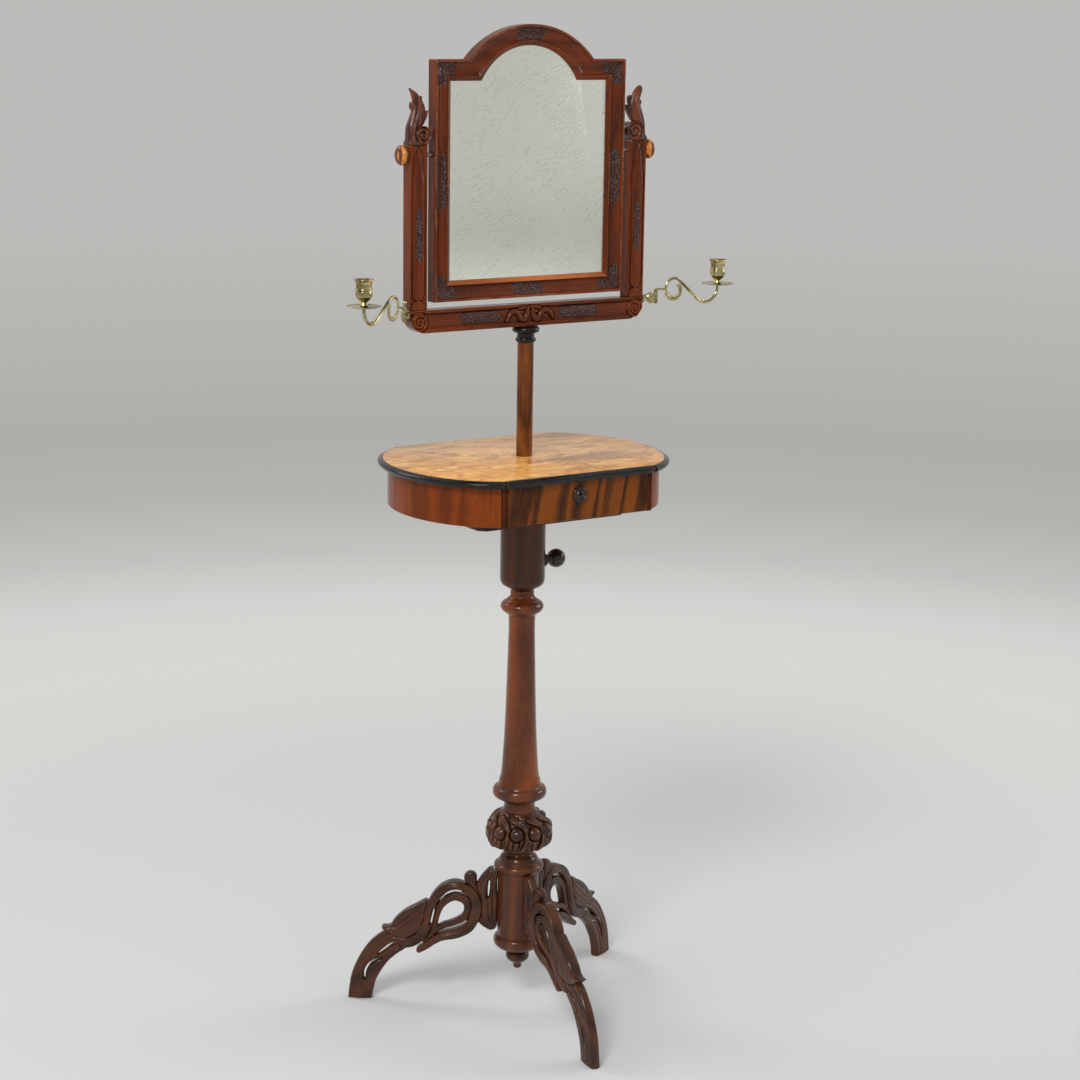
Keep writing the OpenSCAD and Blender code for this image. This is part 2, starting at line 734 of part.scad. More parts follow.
// Front view of the rail, with its lower corners rounded
module rail_outline() {
    half = harp_half_width;
    r = rail_corner_radius;
    polygon(concat([[half, rail_height]], arc([half - r, r], r, 0, -90, 10),
        arc([r - half, r], r, -90, -180, 10), [[-half, rail_height]]));
}

rail_scroll = [[3, 6, 2], [9, 6.5, 3.2], [16, 10, 3.4], [20, 16, 3], [27, 18, 2.8], [35, 14, 2.6],
    [43, 12, 2.2], [52, 13, 1]];
rail_curl = [[22, 15, 2], [27, 10, 2.6], [34, 8, 2.2], [39, 10, 1]];

module harp_rail() {
    color(red_walnut) difference() {
        union() {
            translate([0, 0, rail_bottom]) upright(harp_depth, harp_middle) rail_outline();
            translate([0, 0, rail_bottom + 3]) for (side = [-1, 1]) {
                upright(5, -harp_front) mirror([side > 0 ? 0 : 1, 0]) {
                    strand(rail_scroll);
                    strand(rail_curl);
                }
                upright(2, -harp_front) translate([side * 92, 15]) polygon([[-40, 0], [-31, 9],
                    [31, 9], [40, 0], [31, -9], [-31, -9]]);
                translate([side * (harp_half_width - 17), -harp_front - 3, 14]) rotate([-90, 0, 0])
                    cylinder(r = 12, h = 10);
            }
        }
        translate([0, 0, rail_bottom - 1])
            cylinder(r = swivel_pin_radius + pin_clearance, h = swivel_pin_length + 2);
        for (side = [-1, 1]) translate([side * post_centre - 7, harp_middle - 5, rail_top - 12])
            cube([14, 10, 20]);
        for (side = [-1, 1]) mirror([side > 0 ? 0 : 1, 0, 0]) bracket_screw_places()
            rotate([0, -90, 0]) cylinder(r = bracket_screw_radius, h = 12);
    }
}

// Cross-section of a post: a rounded front between two fillets
module post_section() {
    half = post_width / 2;
    polygon(concat([[half, harp_back], [half, 4 - harp_front], [half - 3, 4 - harp_front],
        [half - 4, 2 - harp_front]],
        [for (i = [0 : 10]) let (a = 18 * i) [(half - 5) * cos(a), 2 - harp_front - 2 * sin(a)]],
        [[4 - half, 2 - harp_front], [3 - half, 4 - harp_front], [-half, 4 - harp_front],
            [-half, harp_back]]));
}

module post(side) {
    color(red_walnut) difference() {
        union() {
            translate([side * post_centre, 0, rail_top]) linear_extrude(post_length) post_section();
            translate([side * post_centre - 7, harp_middle - 5, rail_top - 12]) cube([14, 10, 14]);
        }
        translate([0, harp_middle, pivot_z]) rotate([0, 90 * side, 0])
            cylinder(r = tilt_screw_radius + pin_clearance, h = harp_half_width + 10);
    }
}

module post_left() { post(-1); }
module post_right() { post(1); }

// Carved top of a post, seen from the front: offset outwards, height, half width
crest_leaf = [[10, 4, 6], [10, 15, 8.5], [6, 27, 10], [-1, 40, 11], [-4, 54, 10.5], [-2, 66, 8.5],
    [4, 77, 5], [12, 88, 1]];
crest_lobe = [[-6, 42, 5], [-14, 49, 4], [-20, 55, 1]];
crest_point = [[0, 56, 5], [5, 64, 3], [8, 71, 1]];

module cresting(side) {
    color(red_walnut) intersection() {
        translate([side * post_centre, 0, post_top]) union() {
            upright(14, harp_middle) mirror([side > 0 ? 0 : 1, 0]) {
                strand(crest_leaf);
                strand(crest_lobe);
                strand(crest_point);
                translate([-8, volute_radius]) circle(r = volute_radius);
                translate([-post_width / 2, 0]) square([post_width, 6]);
            }
            translate([-8 * side, -harp_front, volute_radius]) rotate([-90, 0, 0])
                cylinder(r = volute_radius, h = harp_depth);
            translate([-8 * side, -harp_front - 2, volute_radius]) rotate([-90, 0, 0])
                cylinder(r = volute_radius - 4, h = 5);
        }
        translate([side * post_centre - 60, -60, post_top]) cube([120, 120, 200]);
    }
}

module cresting_left() { cresting(-1); }
module cresting_right() { cresting(1); }

module tilt_knob(side) {
    start = harp_half_width + seat_gap;
    middle = tilt_knob_thickness * 0.55;
    color(light_wood) translate([0, harp_middle, pivot_z]) rotate([0, 90 * side, 0]) difference() {
        translate([0, 0, start]) turned(concat([[8, 0], [8.5, 1.5]],
            [for (i = [0 : 14]) let (a = -52 + 138 * i / 14)
                [tilt_knob_radius * cos(a), middle + tilt_knob_thickness / 2 * sin(a) * 0.95]]));
        cylinder(r = tilt_screw_radius, h = start + 10);
    }
}

module tilt_knob_left() { tilt_knob(-1); }
module tilt_knob_right() { tilt_knob(1); }

module tilt_screw(side) {
    color(iron) translate([0, harp_middle, pivot_z]) rotate([0, 90 * side, 0])
        translate([0, 0, frame_half_width - 12]) cylinder(r = tilt_screw_radius,
            h = harp_half_width + seat_gap + 10 - frame_half_width + 12);
}

module tilt_screw_left() { tilt_screw(-1); }
module tilt_screw_right() { tilt_screw(1); }

// Outline of the mirror frame from its outer edge (0) to the glass (1), right half upwards
function frame_arch(t, steps = 14) = let (
        outer_c = arch_top - arch_outer_radius, inner_c = sight_top - arch_inner_radius,
        radius = arch_outer_radius + (arch_inner_radius - arch_outer_radius) * t,
        centre = outer_c + (inner_c - outer_c) * t,
        foot = shoulder_z + (inner_shoulder_z - shoulder_z) * t,
        reach = acos((foot - centre) / radius))
    [for (i = [0 : steps]) let (a = reach * (1 - 2 * i / steps))
        [radius * sin(a), centre + radius * cos(a)]];
function frame_side(t) = frame_half_width + (sight_half - frame_half_width) * t;
function frame_base(t) = frame_bottom + frame_member * t;

// Section of the frame's moulding: from outer edge to glass, depth behind the front
frame_section = [[0, 0], [0.09, 0], [0.13, 1.6], [0.22, 2.2], [0.34, 4.2], [0.5, 5.8], [0.66, 6.2],
    [0.74, 5.6], [0.8, 5], [0.9, 5.2], [1, 8]];

// Closed section for a loft along the frame, back edge rebated for the glass
function frame_ring(place) = concat(
    [for (q = frame_section) let (p = place(q.x)) [p.x, frame_front + q.y, p.y]],
    [let (p = place(1)) [p.x, glass_front, p.y],
        let (p = place(1 - rebate_width / frame_member)) [p.x, glass_front, p.y],
        let (p = place(1 - rebate_width / frame_member)) [p.x, frame_front + frame_depth, p.y],
        let (p = place(0)) [p.x, frame_front + frame_depth, p.y]]);

function top_place(i, steps = 14) = function (t)
    i == 0 ? [frame_side(t), shoulder_z + (inner_shoulder_z - shoulder_z) * t]
    : i == steps + 2 ? [-frame_side(t), shoulder_z + (inner_shoulder_z - shoulder_z) * t]
    : frame_arch(t)[i - 1];

module mirror_arch_rail() {
    color(red_walnut) loft([for (i = [16 : -1 : 0]) frame_ring(top_place(i))]);
}

module mirror_stile(side) {
    top = function (t) [side * frame_side(t), shoulder_z + (inner_shoulder_z - shoulder_z) * t];
    low = function (t) [side * frame_side(t), frame_base(t)];
    color(red_walnut) difference() {
        if (side > 0) loft([frame_ring(top), frame_ring(low)]);
        else loft([frame_ring(low), frame_ring(top)]);
        translate([0, harp_middle, pivot_z]) rotate([0, 90 * side, 0])
            translate([0, 0, frame_half_width - 14]) cylinder(r = pivot_bush_radius, h = 20);
    }
}

module mirror_stile_left() { mirror_stile(-1); }
module mirror_stile_right() { mirror_stile(1); }

module mirror_bottom_rail() {
    right = function (t) [frame_side(t), frame_base(t)];
    left = function (t) [-frame_side(t), frame_base(t)];
    color(red_walnut) loft([frame_ring(right), frame_ring(left)]);
}

// Outline of the glass or the backboard, with its edge under the frame's lip
module glass_outline(t) {
    polygon(concat([[frame_side(t), frame_base(t)],
        [frame_side(t), shoulder_z + (inner_shoulder_z - shoulder_z) * t]], frame_arch(t),
        [[-frame_side(t), shoulder_z + (inner_shoulder_z - shoulder_z) * t],
            [-frame_side(t), frame_base(t)]]));
}

module mirror_glass() {
    color(silvering) upright(glass_thickness, glass_front + glass_thickness / 2)
        glass_outline(1 - (rebate_width - 0.2) / frame_member);
}

module mirror_backboard() {
    color(pine) upright(backboard_thickness, glass_back + backboard_thickness / 2)
        glass_outline(1 - (rebate_width - 0.1) / frame_member);
}

module pivot_bushes() {
    for (side = [-1, 1]) color(brass) translate([0, harp_middle, pivot_z]) rotate([0, 90 * side, 0])
        difference() {
            translate([0, 0, frame_half_width - 14]) cylinder(r = pivot_bush_radius, h = 14);
            translate([0, 0, frame_half_width - 13])
                cylinder(r = tilt_screw_radius + pin_clearance, h = 20);
        }
}

// Places of the two screws of the right-hand bracket, on the outer face of its plate
module bracket_screw_places() {
    for (y = [-1, 1]) translate([harp_half_width + 2, harp_middle + 7 * y, eye_low + eye_height])
        children();
}

module candle_brackets() {
    for (side = [-1, 1]) color(brass) mirror([side > 0 ? 0 : 1, 0, 0]) difference() {
        union() {
            translate([harp_half_width, harp_middle - 10, eye_low - 1])
                cube([2, 20, 2 * eye_height + 2]);
            translate([harp_half_width + 1, harp_middle - 2.5, eye_low])
                cube([link_standoff - 2, 5, eye_height]);
            translate([link_x, harp_middle, eye_low]) cylinder(r = eye_radius, h = eye_height);
            translate([link_x, harp_middle, eye_low])
                cylinder(r = hinge_pin_radius, h = 2 * eye_height + seat_gap);
        }
        bracket_screw_places() translate([-3, 0, 0]) rotate([0, 90, 0])
            cylinder(r = bracket_screw_radius, h = 6);
    }
}

module bracket_screws() {
    for (side = [-1, 1]) color(brass) mirror([side > 0 ? 0 : 1, 0, 0])
        bracket_screw_places() {
            rotate([0, 90, 0]) cylinder(r = 2.2, h = 1);
            translate([-12, 0, 0]) rotate([0, 90, 0]) cylinder(r = bracket_screw_radius, h = 12.5);
        }
}

// A hinge link lying along +X, its inner pin at the origin
module link_shape() {
    neck = eye_low + eye_height + seat_gap;
    difference() {
        union() {
            translate([0, 0, neck]) cylinder(r = eye_radius, h = eye_height);
            translate([1, -2, neck]) cube([11, 4, eye_height]);
            translate([0, 4, 0]) rotate([90, 0, 0]) linear_extrude(8) polygon([
                [9, eye_low + 1], [9, neck + eye_height], [13, link_top],
                [link_length - 6, link_top], [link_length - 6, link_low], [13, link_low]]);
            translate([link_length - 7, -1.5, link_low]) cube([5, 3, link_height]);
            translate([link_length, 0, link_low])
                cylinder(r = hinge_barrel_radius, h = link_height);
        }
        translate([0, 0, neck - 1])
            cylinder(r = hinge_pin_radius + pin_clearance, h = eye_height + 2);
        translate([link_length, 0, link_low - 1])
            cylinder(r = hinge_pin_radius + pin_clearance, h = link_height + 2);
    }
}

module place_link(side) {
    mirror([side > 0 ? 0 : 1, 0, 0]) translate([link_x, harp_middle, 0])
        rotate(side > 0 ? 0 : -left_link_swing) children();
}

module candle_link_left() { color(brass) place_link(-1) link_shape(); }
module candle_link_right() { color(brass) place_link(1) link_shape(); }

// A bent piece of round rod in the X and Z plane
module bend(centre, radius, from, to, rod = rod_radius) {
    translate([centre.x, 0, centre.y]) rotate([90, 0, 0]) rotate(from)
        rotate_extrude(angle = to - from) translate([radius, 0]) circle(r = rod, $fn = 24);
}

module straight_rod(from, to, rod = rod_radius) {
    step = to - from;
    translate([from.x, 0, from.y]) rotate([0, 90 - atan2(step.y, step.x), 0])
        cylinder(r = rod, h = norm(step), $fn = 24);
}

// The arm in its own plane: its hinge axis at the origin, its bar at height 0, bent up by rise
module arm_shape(rise = 0) {
    ring = [20.5 + ring_radius, 0.3 * rise];
    low = [arm_reach - low_radius, rise - 2];
    away = norm(low - ring);
    slope = asin((ring_radius + low_radius) / away) - atan2(low.y - ring.y, low.x - ring.x);
    leave = ring + ring_radius * [sin(slope), cos(slope)];
    meet = low - low_radius * [sin(slope), cos(slope)];
    collar_low = link_top - bar_z + seat_gap;
    inner = ring_radius - 1.5;
    translate([0, 0, link_low - bar_z - 1.5]) cylinder(r = hinge_pin_radius, h = link_height + 3);
    translate([0, 0, collar_low]) cylinder(r = hinge_barrel_radius, h = 2 - collar_low);
    straight_rod([0, 0], [21, ring.y], rod_radius * 0.9);
    bend(ring, ring_radius, 180, 90 - slope);
    bend(ring - [1, 0], inner, 180, 390, rod_radius * 0.8);
    for (a = [232, 262, 292, 322, 350, 378]) for (swing = [-1, 1]) translate([
        ring.x - 1 + (inner + swing * 1.4) * cos(a), 0, ring.y + (inner + swing * 1.4) * sin(a)])
        sphere(r = rod_radius);
    straight_rod(leave, meet);
    bend(low, low_radius, 270 - slope, 360);
    for (end = [leave, meet, [arm_reach, low.y]]) translate([end.x, 0, end.y])
        sphere(r = braze_radius);
    translate([arm_reach, 0, low.y]) cylinder(r = rod_radius, h = rise + cup_seat + 1 - low.y);
}

module place_arm(side) {
    swing = side > 0 ? 0 : -left_link_swing;
    turn = side > 0 ? 0 : left_link_swing - left_arm_swing;
    mirror([side > 0 ? 0 : 1, 0, 0]) translate([link_x, harp_middle, bar_z]) rotate(swing)
        translate([link_length, 0, 0]) rotate(turn) children();
}

// Ball on top of the left hinge pin
module hinge_ball() {
    translate([0, 0, 1]) cylinder(r = 1.6, h = 6);
    translate([0, 0, 8]) sphere(r = 3.8);
}

module candle_arm_left() {
    color(brass) place_arm(-1) {
        arm_shape(left_arm_rise);
        hinge_ball();
    }
}

module candle_arm_right() { color(brass) place_arm(1) arm_shape(); }

module pan_shape() {
    translate([arm_reach, 0, 0]) difference() {
        translate([0, 0, cup_seat]) turned([[4, -1.2], [10, -1.8], [pan_radius - 6, -2.2],
            [pan_radius - 1, -0.8], [pan_radius, -0.2], [pan_radius - 1, 0.4],
            [pan_radius - 6, -1], [10, -0.6], [4, 0]]);
        translate([0, 0, -1]) cylinder(r = rod_radius, h = 12);
    }
}

module drip_pan_left() { color(brass) place_arm(-1) translate([0, 0, left_arm_rise]) pan_shape(); }
module drip_pan_right() { color(brass) place_arm(1) pan_shape(); }

module cup_shape() {
    h = cup_height;
    translate([arm_reach, 0, cup_seat]) difference() {
        turned(concat([[5.5, 0], [6.2, 1.2], [5, 3], [5, 4.5]],
            curve([[6, 6], [8.6, 9], [12.2, 14], [13, 18], [12.8, 22.5]], 4),
            bead(12.6, 23, 26.6, 1.7, 6),
            curve([[12.4, 27.2], [12.3, 31], [12.8, 34.5], [14.5, h - 3], [16, h - 1]], 3),
            [[16, h]]));
        translate([0, 0, h - candle_bore_depth]) cylinder(r = candle_bore_radius, h = candle_bore_depth + 1);
        translate([0, 0, h - 3]) cylinder(r1 = candle_bore_radius, r2 = 15, h = 3.1);
        translate([0, 0, -1]) cylinder(r = rod_radius, h = 2);
    }
}

module candle_cup_left() { color(brass) place_arm(-1) translate([0, 0, left_arm_rise]) cup_shape(); }
module candle_cup_right() { color(brass) place_arm(1) cup_shape(); }

leg_front();
leg_left();
leg_back();
hub();
drop_finial();
carved_knop();
column_shaft();
column_barrel();
thumb_bush();
bearer_board();
bearer_screws();
apron_left();
apron_right();
apron_back();
guide_left();
guide_right();
stop_board();
drawer_runners();
corner_beads();
table_panel();
moulding_front();
moulding_back();
moulding_left();
moulding_right();
thumb_screw();
drawer_front();
drawer_side_left();
drawer_side_right();
drawer_back();
drawer_bottom();
lock_case();
escutcheon();
pole();
collar();
harp_rail();
post_left();
post_right();
cresting_left();
cresting_right();
candle_brackets();
bracket_screws();
candle_link_left();
candle_link_right();
tilt_knob_left();
tilt_knob_right();
tilt_screw_left();
tilt_screw_right();
mirror_stile_left();
mirror_stile_right();
mirror_bottom_rail();
mirror_arch_rail();
mirror_glass();
mirror_backboard();
pivot_bushes();
candle_arm_left();
candle_arm_right();
drip_pan_left();
drip_pan_right();
candle_cup_left();
candle_cup_right();
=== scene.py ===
"""Standing shaving mirror: the looks of every piece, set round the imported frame.

Sizes are in millimetres inside the classes and become metres when a mesh is made.
"""
from __future__ import annotations

import json
import logging
import math
from dataclasses import dataclass, replace
from enum import Enum
from functools import cached_property, reduce
from typing import Callable, Iterable, Sequence

import bpy
import numpy as np
from mathutils import Matrix, Vector

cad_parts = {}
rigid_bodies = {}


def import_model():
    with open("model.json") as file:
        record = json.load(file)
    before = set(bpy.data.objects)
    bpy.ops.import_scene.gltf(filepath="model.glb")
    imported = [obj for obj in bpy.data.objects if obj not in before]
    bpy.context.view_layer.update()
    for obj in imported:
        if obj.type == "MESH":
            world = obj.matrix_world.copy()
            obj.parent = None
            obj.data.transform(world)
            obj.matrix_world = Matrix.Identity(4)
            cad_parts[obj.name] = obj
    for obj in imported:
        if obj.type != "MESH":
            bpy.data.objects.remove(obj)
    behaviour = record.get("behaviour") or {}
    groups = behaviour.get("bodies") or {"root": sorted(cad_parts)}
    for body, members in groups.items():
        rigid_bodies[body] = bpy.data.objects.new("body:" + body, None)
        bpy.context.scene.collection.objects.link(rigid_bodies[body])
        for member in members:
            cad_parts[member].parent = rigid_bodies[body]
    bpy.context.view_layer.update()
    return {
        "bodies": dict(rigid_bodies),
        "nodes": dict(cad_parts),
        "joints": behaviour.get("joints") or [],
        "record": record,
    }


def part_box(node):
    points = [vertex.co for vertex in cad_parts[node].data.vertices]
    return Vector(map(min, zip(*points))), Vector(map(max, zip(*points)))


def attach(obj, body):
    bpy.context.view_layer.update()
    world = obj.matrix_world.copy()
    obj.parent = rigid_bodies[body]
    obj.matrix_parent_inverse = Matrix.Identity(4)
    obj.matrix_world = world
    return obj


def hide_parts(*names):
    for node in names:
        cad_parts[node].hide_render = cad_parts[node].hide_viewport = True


log = logging.getLogger("shaving_mirror")

MM = 0.001
QUARTER = math.pi / 2
Point = tuple[float, float]
Station = tuple[float, float, float]
Colour = tuple[float, float, float]
Place = Callable[[float], Point]


class Slot(Enum):
    """Slots of the record, one named for each modelled piece."""

    CARVED = "walnut_carved"
    TURNED = "walnut_turned"
    RED = "walnut_red"
    VENEER = "drawer_veneer"
    BURL = "burl_veneer"
    EBONY = "ebonised"
    KNOB = "knob_wood"
    BRASS = "brass"
    GLASS = "silvered_glass"


class Along(Enum):
    """Direction that a board's grain runs in."""

    X = (1, 2, 0)
    Y = (2, 0, 1)
    Z = (0, 1, 2)


def srgb(red: int, green: int, blue: int) -> Colour:
    """Turns a colour of 0 to 255 into linear light.

    Args:
        red, green, blue: The colour as a screen shows it.

    Returns:
        The linear colour.
    """
    def line(value: float) -> float:
        """One channel."""
        value /= 255
        return value / 12.92 if value <= 0.04045 else ((value + 0.055) / 1.055) ** 2.4
    return line(red), line(green), line(blue)


# Outlines and profiles


def arc(centre: Point, radius: float, start: float, stop: float, steps: int = 8) -> list[Point]:
    """Points of a circular arc.

    Args:
        centre: Middle of the circle.
        radius: Its radius.
        start, stop: Angles in degrees.
        steps: Number of chords.

    Returns:
        The points, both ends included.
    """
    angles = np.radians(np.linspace(start, stop, steps + 1))
    return [(centre[0] + radius * math.cos(a), centre[1] + radius * math.sin(a)) for a in angles]


def smooth_line(points: Sequence[Sequence[float]], steps: int = 6) -> np.ndarray:
    """A smooth curve through given points, whatever each point holds.

    Args:
        points: The given points.
        steps: Steps between two of them.

    Returns:
        One row per point of the curve.
    """
    p = np.array(points, float)
    rows = []
    for i in range(len(p) - 1):
        a, b, c, d = p[max(i - 1, 0)], p[i], p[i + 1], p[min(i + 2, len(p) - 1)]
        for t in np.arange(steps) / steps:
            rows.append(0.5 * (2 * b + (c - a) * t + (2 * a - 5 * b + 4 * c - d) * t * t
                               + (3 * b - 3 * c + d - a) * t ** 3))
    rows.append(p[-1])
    return np.array(rows)


def flow(points: Sequence[Point], steps: int = 5) -> list[Point]:
    """A smooth curve as points of a profile."""
    return [tuple(p) for p in smooth_line(points, steps)]


def bead(radius: float, low: float, high: float, swell: float, steps: int = 12) -> list[Point]:
    """A half-round moulding on a turned profile.

    Args:
        radius: Radius of its feet.
        low, high: Its heights.
        swell: How far it stands out.
        steps: Number of chords.

    Returns:
        Profile points from low to high.
    """
    turn = np.radians(np.linspace(-90, 90, steps + 1))
    middle, half = (low + high) / 2, (high - low) / 2
    return [(radius + swell * math.cos(a), middle + half * math.sin(a)) for a in turn]


def cove(low: Point, high: Point, sink: float, steps: int = 10) -> list[Point]:
    """A hollow on a turned profile.

    Args:
        low, high: Radius and height of its two ends.
        sink: How deep it is.
        steps: Number of chords.

    Returns:
        Profile points from low to high.
    """
    return [(low[0] + (high[0] - low[0]) * t - sink * math.sin(math.pi * t),
             low[1] + (high[1] - low[1]) * t) for t in np.linspace(0, 1, steps + 1)]


def eased(profile: Sequence[Point], radius: float = 0.5) -> np.ndarray:
    """Rounds the corners of an open profile, as sanding and polish do.

    Args:
        profile: The points.
        radius: How far from a corner the rounding starts.

    Returns:
        The rounded profile.
    """
    straight, longest = -0.94, 0.45
    p = np.array(profile, float)
    rows = [p[0]]
    for a, b, c in zip(p, p[1:], p[2:]):
        before, after = np.linalg.norm(a - b), np.linalg.norm(c - b)
        if min(before, after) < 1e-6:
            continue
        cosine = np.dot(a - b, c - b) / (before * after)
        if cosine < straight:
            rows.append(b)
            continue
        start = b + (a - b) / before * min(radius, before * longest)
        stop = b + (c - b) / after * min(radius, after * longest)
        rows += [start, 0.25 * start + 0.5 * b + 0.25 * stop, stop]
    rows.append(p[-1])
    return np.array(rows)


# Meshes in the making


@dataclass
class Shape:
    """Corners in millimetres, faces, and what the finishes read at each corner.

    The grain is the wood's own coordinates, and the panel is the distance outside a punched panel.
    """

    points: np.ndarray
    faces: list[tuple[int, ...]]
    grain: np.ndarray | None = None
    kinds: list[int] | None = None
    panel: np.ndarray | None = None

    def placed(self, matrix: Matrix) -> Shape:
        """Moves the corners.

        Args:
            matrix: Rotation and place, in millimetres.

        Returns:
            The moved shape, which keeps its grain.
        """
        m = np.array(matrix)
        grain = self.points if self.grain is None else self.grain
        moved = self.points @ m[:3, :3].T + m[:3, 3]
        faces = self.faces
        if np.linalg.det(m[:3, :3]) < 0:
            faces = [tuple(reversed(f)) for f in faces]
        return Shape(moved, faces, grain, self.kinds, self.panel)

    def grown(self, other: Shape) -> Shape:
        """Puts another shape into this one.

        Args:
            other: The shape to add.

        Returns:
            Both as one shape.
        """
        first = len(self.points)
        grain = [s.points if s.grain is None else s.grain for s in (self, other)]
        kinds = [s.kinds or [0] * len(s.faces) for s in (self, other)]
        return Shape(np.vstack([self.points, other.points]),
                     self.faces + [tuple(i + first for i in f) for f in other.faces],
                     np.vstack(grain), kinds[0] + kinds[1])

    def painted(self, chosen: Callable[[np.ndarray], bool]) -> Shape:
        """Gives the second look to some faces.

        Args:
            chosen: Says of a face's corners whether it is one of them.

        Returns:
            This shape.
        """
        self.kinds = [int(chosen(self.points[list(f)])) for f in self.faces]
        return self

    def piece(self, name: str, body: str, slot: Slot, looks: Sequence[Look], replaced: Iterable[str],
              along: Along = Along.Z, crease: float = 38) -> None:
        """Makes the Blender object, lets it ride and logs it.

        Args:
            name: The piece's name.
            body: The body it rides on.
            slot: The record's material slot; not used.
            looks: Finishes, in the order of the faces' kinds.
            replaced: CAD nodes that it stands for.
            along: Direction of the grain, where the shape doesn't say.
            crease: Angle in degrees over which an edge stays sharp.
        """
        mesh = bpy.data.meshes.new(name)
        mesh.from_pydata((self.points * MM).tolist(), [], self.faces)
        for look in looks:
            mesh.materials.append(look.material())
        if self.kinds:
            mesh.polygons.foreach_set("material_index", self.kinds)
        own = self.points[:, list(along.value)] if self.grain is None else self.grain
        layer = mesh.attributes.new("grain", "FLOAT_VECTOR", "POINT")
        layer.data.foreach_set("vector", (own * MM).astype(np.float32).ravel())
        if self.panel is not None:
            edge = mesh.attributes.new("panel", "FLOAT", "POINT")
            edge.data.foreach_set("value", (self.panel * MM).astype(np.float32))
        mesh.polygons.foreach_set("use_smooth", [True] * len(mesh.polygons))
        mesh.update()
        mesh.set_sharp_from_angle(angle=math.radians(crease))
        made = bpy.data.objects.new(name, mesh)
        bpy.context.scene.collection.objects.link(made)
        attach(made, body)
        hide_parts(*replaced)
        log.info("%s rides on %s, %d faces", name, body, len(self.faces))


def joined(shapes: Iterable[Shape]) -> Shape:
    """Puts shapes together into one, in their order."""
    return reduce(Shape.grown, shapes)


def lathe(profile: Sequence[Point] | np.ndarray, turns: int = 128) -> Shape:
    """Revolves a profile round +Z.

    Args:
        profile: Radius and height, from low to high.
        turns: Number of segments round the axis.

    Returns:
        A closed shape.
    """
    p = np.array(profile, float)
    angle = np.arange(turns) * 2 * math.pi / turns
    ring = np.stack([np.cos(angle), np.sin(angle)], 1)
    points = np.concatenate([np.column_stack([r * ring, np.full(turns, z)]) for r, z in p])
    faces = [(i * turns + j, i * turns + (j + 1) % turns, (i + 1) * turns + (j + 1) % turns,
              (i + 1) * turns + j) for i in range(len(p) - 1) for j in range(turns)]
    faces.append(tuple(reversed(range(turns))))
    faces.append(tuple((len(p) - 1) * turns + j for j in range(turns)))
    return Shape(points, faces)


def loft(rings: np.ndarray, closed: bool = False) -> Shape:
    """Joins a row of closed sections.

    Args:
        rings: Array of sections by points by three.
        closed: Whether the last section joins the first.

    Returns:
        A closed shape.
    """
    m, n = rings.shape[:2]
    faces = [(i * n + j, i * n + (j + 1) % n, (i + 1) % m * n + (j + 1) % n, (i + 1) % m * n + j)
             for i in range(m if closed else m - 1) for j in range(n)]
    if not closed:
        faces.append(tuple(reversed(range(n))))
        faces.append(tuple((m - 1) * n + j for j in range(n)))
    return outward(Shape(rings.reshape(-1, 3).astype(float), faces))


def outward(shape: Shape) -> Shape:
    """Turns all faces over if the shape is inside out.

    Args:
        shape: A closed shape.

    Returns:
        The shape with its faces outwards.
    """
    middle = shape.points.mean(0)
    volume = 0.0
    for f in shape.faces:
        corner = shape.points[list(f)] - middle
        for b, c in zip(corner[1:], corner[2:]):
            volume += np.dot(corner[0], np.cross(b, c))
    if volume < 0:
        shape.faces = [tuple(reversed(f)) for f in shape.faces]
    return shape


def sleeve(outside: Sequence[Point], turns: int = 40) -> Shape:
    """A turned ring: its profile starts and ends at the bore.

    Args:
        outside: Radius and height round the outside, from low to high.
        turns: Number of segments round the axis.

    Returns:
        A closed shape.
    """
    rings = []
    for n in range(turns):
        a = 2 * math.pi * n / turns
        rings.append([(r * math.cos(a), r * math.sin(a), z) for r, z in outside])
    return loft(np.array(rings), closed=True)


def sideways(side: int, x: float, y: float, z: float) -> Matrix:
    """Lays a turned shape along X, its axis to the left (-1) or right (1), and moves it."""
    return Matrix.Translation((x, y, z)) @ Matrix.Rotation(QUARTER * side, 4, "Y")


def inset(outline: np.ndarray, amount: float) -> np.ndarray:
    """Moves a closed outline inwards, corner by corner.

    Args:
        outline: Points counterclockwise.
        amount: Distance inwards.

    Returns:
        The smaller outline.
    """
    before = outline - np.roll(outline, 1, 0)
    after = np.roll(outline, -1, 0) - outline
    before /= np.linalg.norm(before, axis=1, keepdims=True)
    after /= np.linalg.norm(after, axis=1, keepdims=True)
    normal = np.stack([-before[:, 1] - after[:, 1], before[:, 0] + after[:, 0]], 1)
    size = np.linalg.norm(normal, axis=1, keepdims=True)
    cosine = np.clip(size / 2, 0.3, 1)
    return outline + normal / size * amount / cosine


def slab(outline: Sequence[Point] | np.ndarray, low: float, high: float, ease: float = 0.6,
         border: float = 0.0) -> Shape:
    """A board with eased edges, cut along an outline in the X and Y plane.

    Args:
        outline: Points counterclockwise.
        low, high: Heights of its faces.
        ease: Radius of its edges.
        border: Width of the strip next to the edges that a wide face keeps to itself.

    Returns:
        A closed shape.
    """
    nearest = 0.02
    plan = np.array(outline, float)
    plan = plan[np.linalg.norm(plan - np.roll(plan, 1, 0), axis=1) > nearest]
    soft = ease * 0.3
    foot = [(ease, low), (soft, low + soft), (0, low + ease)]
    head = [(0, high - ease), (soft, high - soft), (ease, high)]
    if border:
        wide = ease + border
        foot = [(wide, low), *foot, (0, low + wide)]
        head = [(0, high - wide), *head, (wide, high)]
    return loft(np.stack([np.column_stack([inset(plan, d) if d else plan, np.full(len(plan), z)])
                          for d, z in foot + head]))


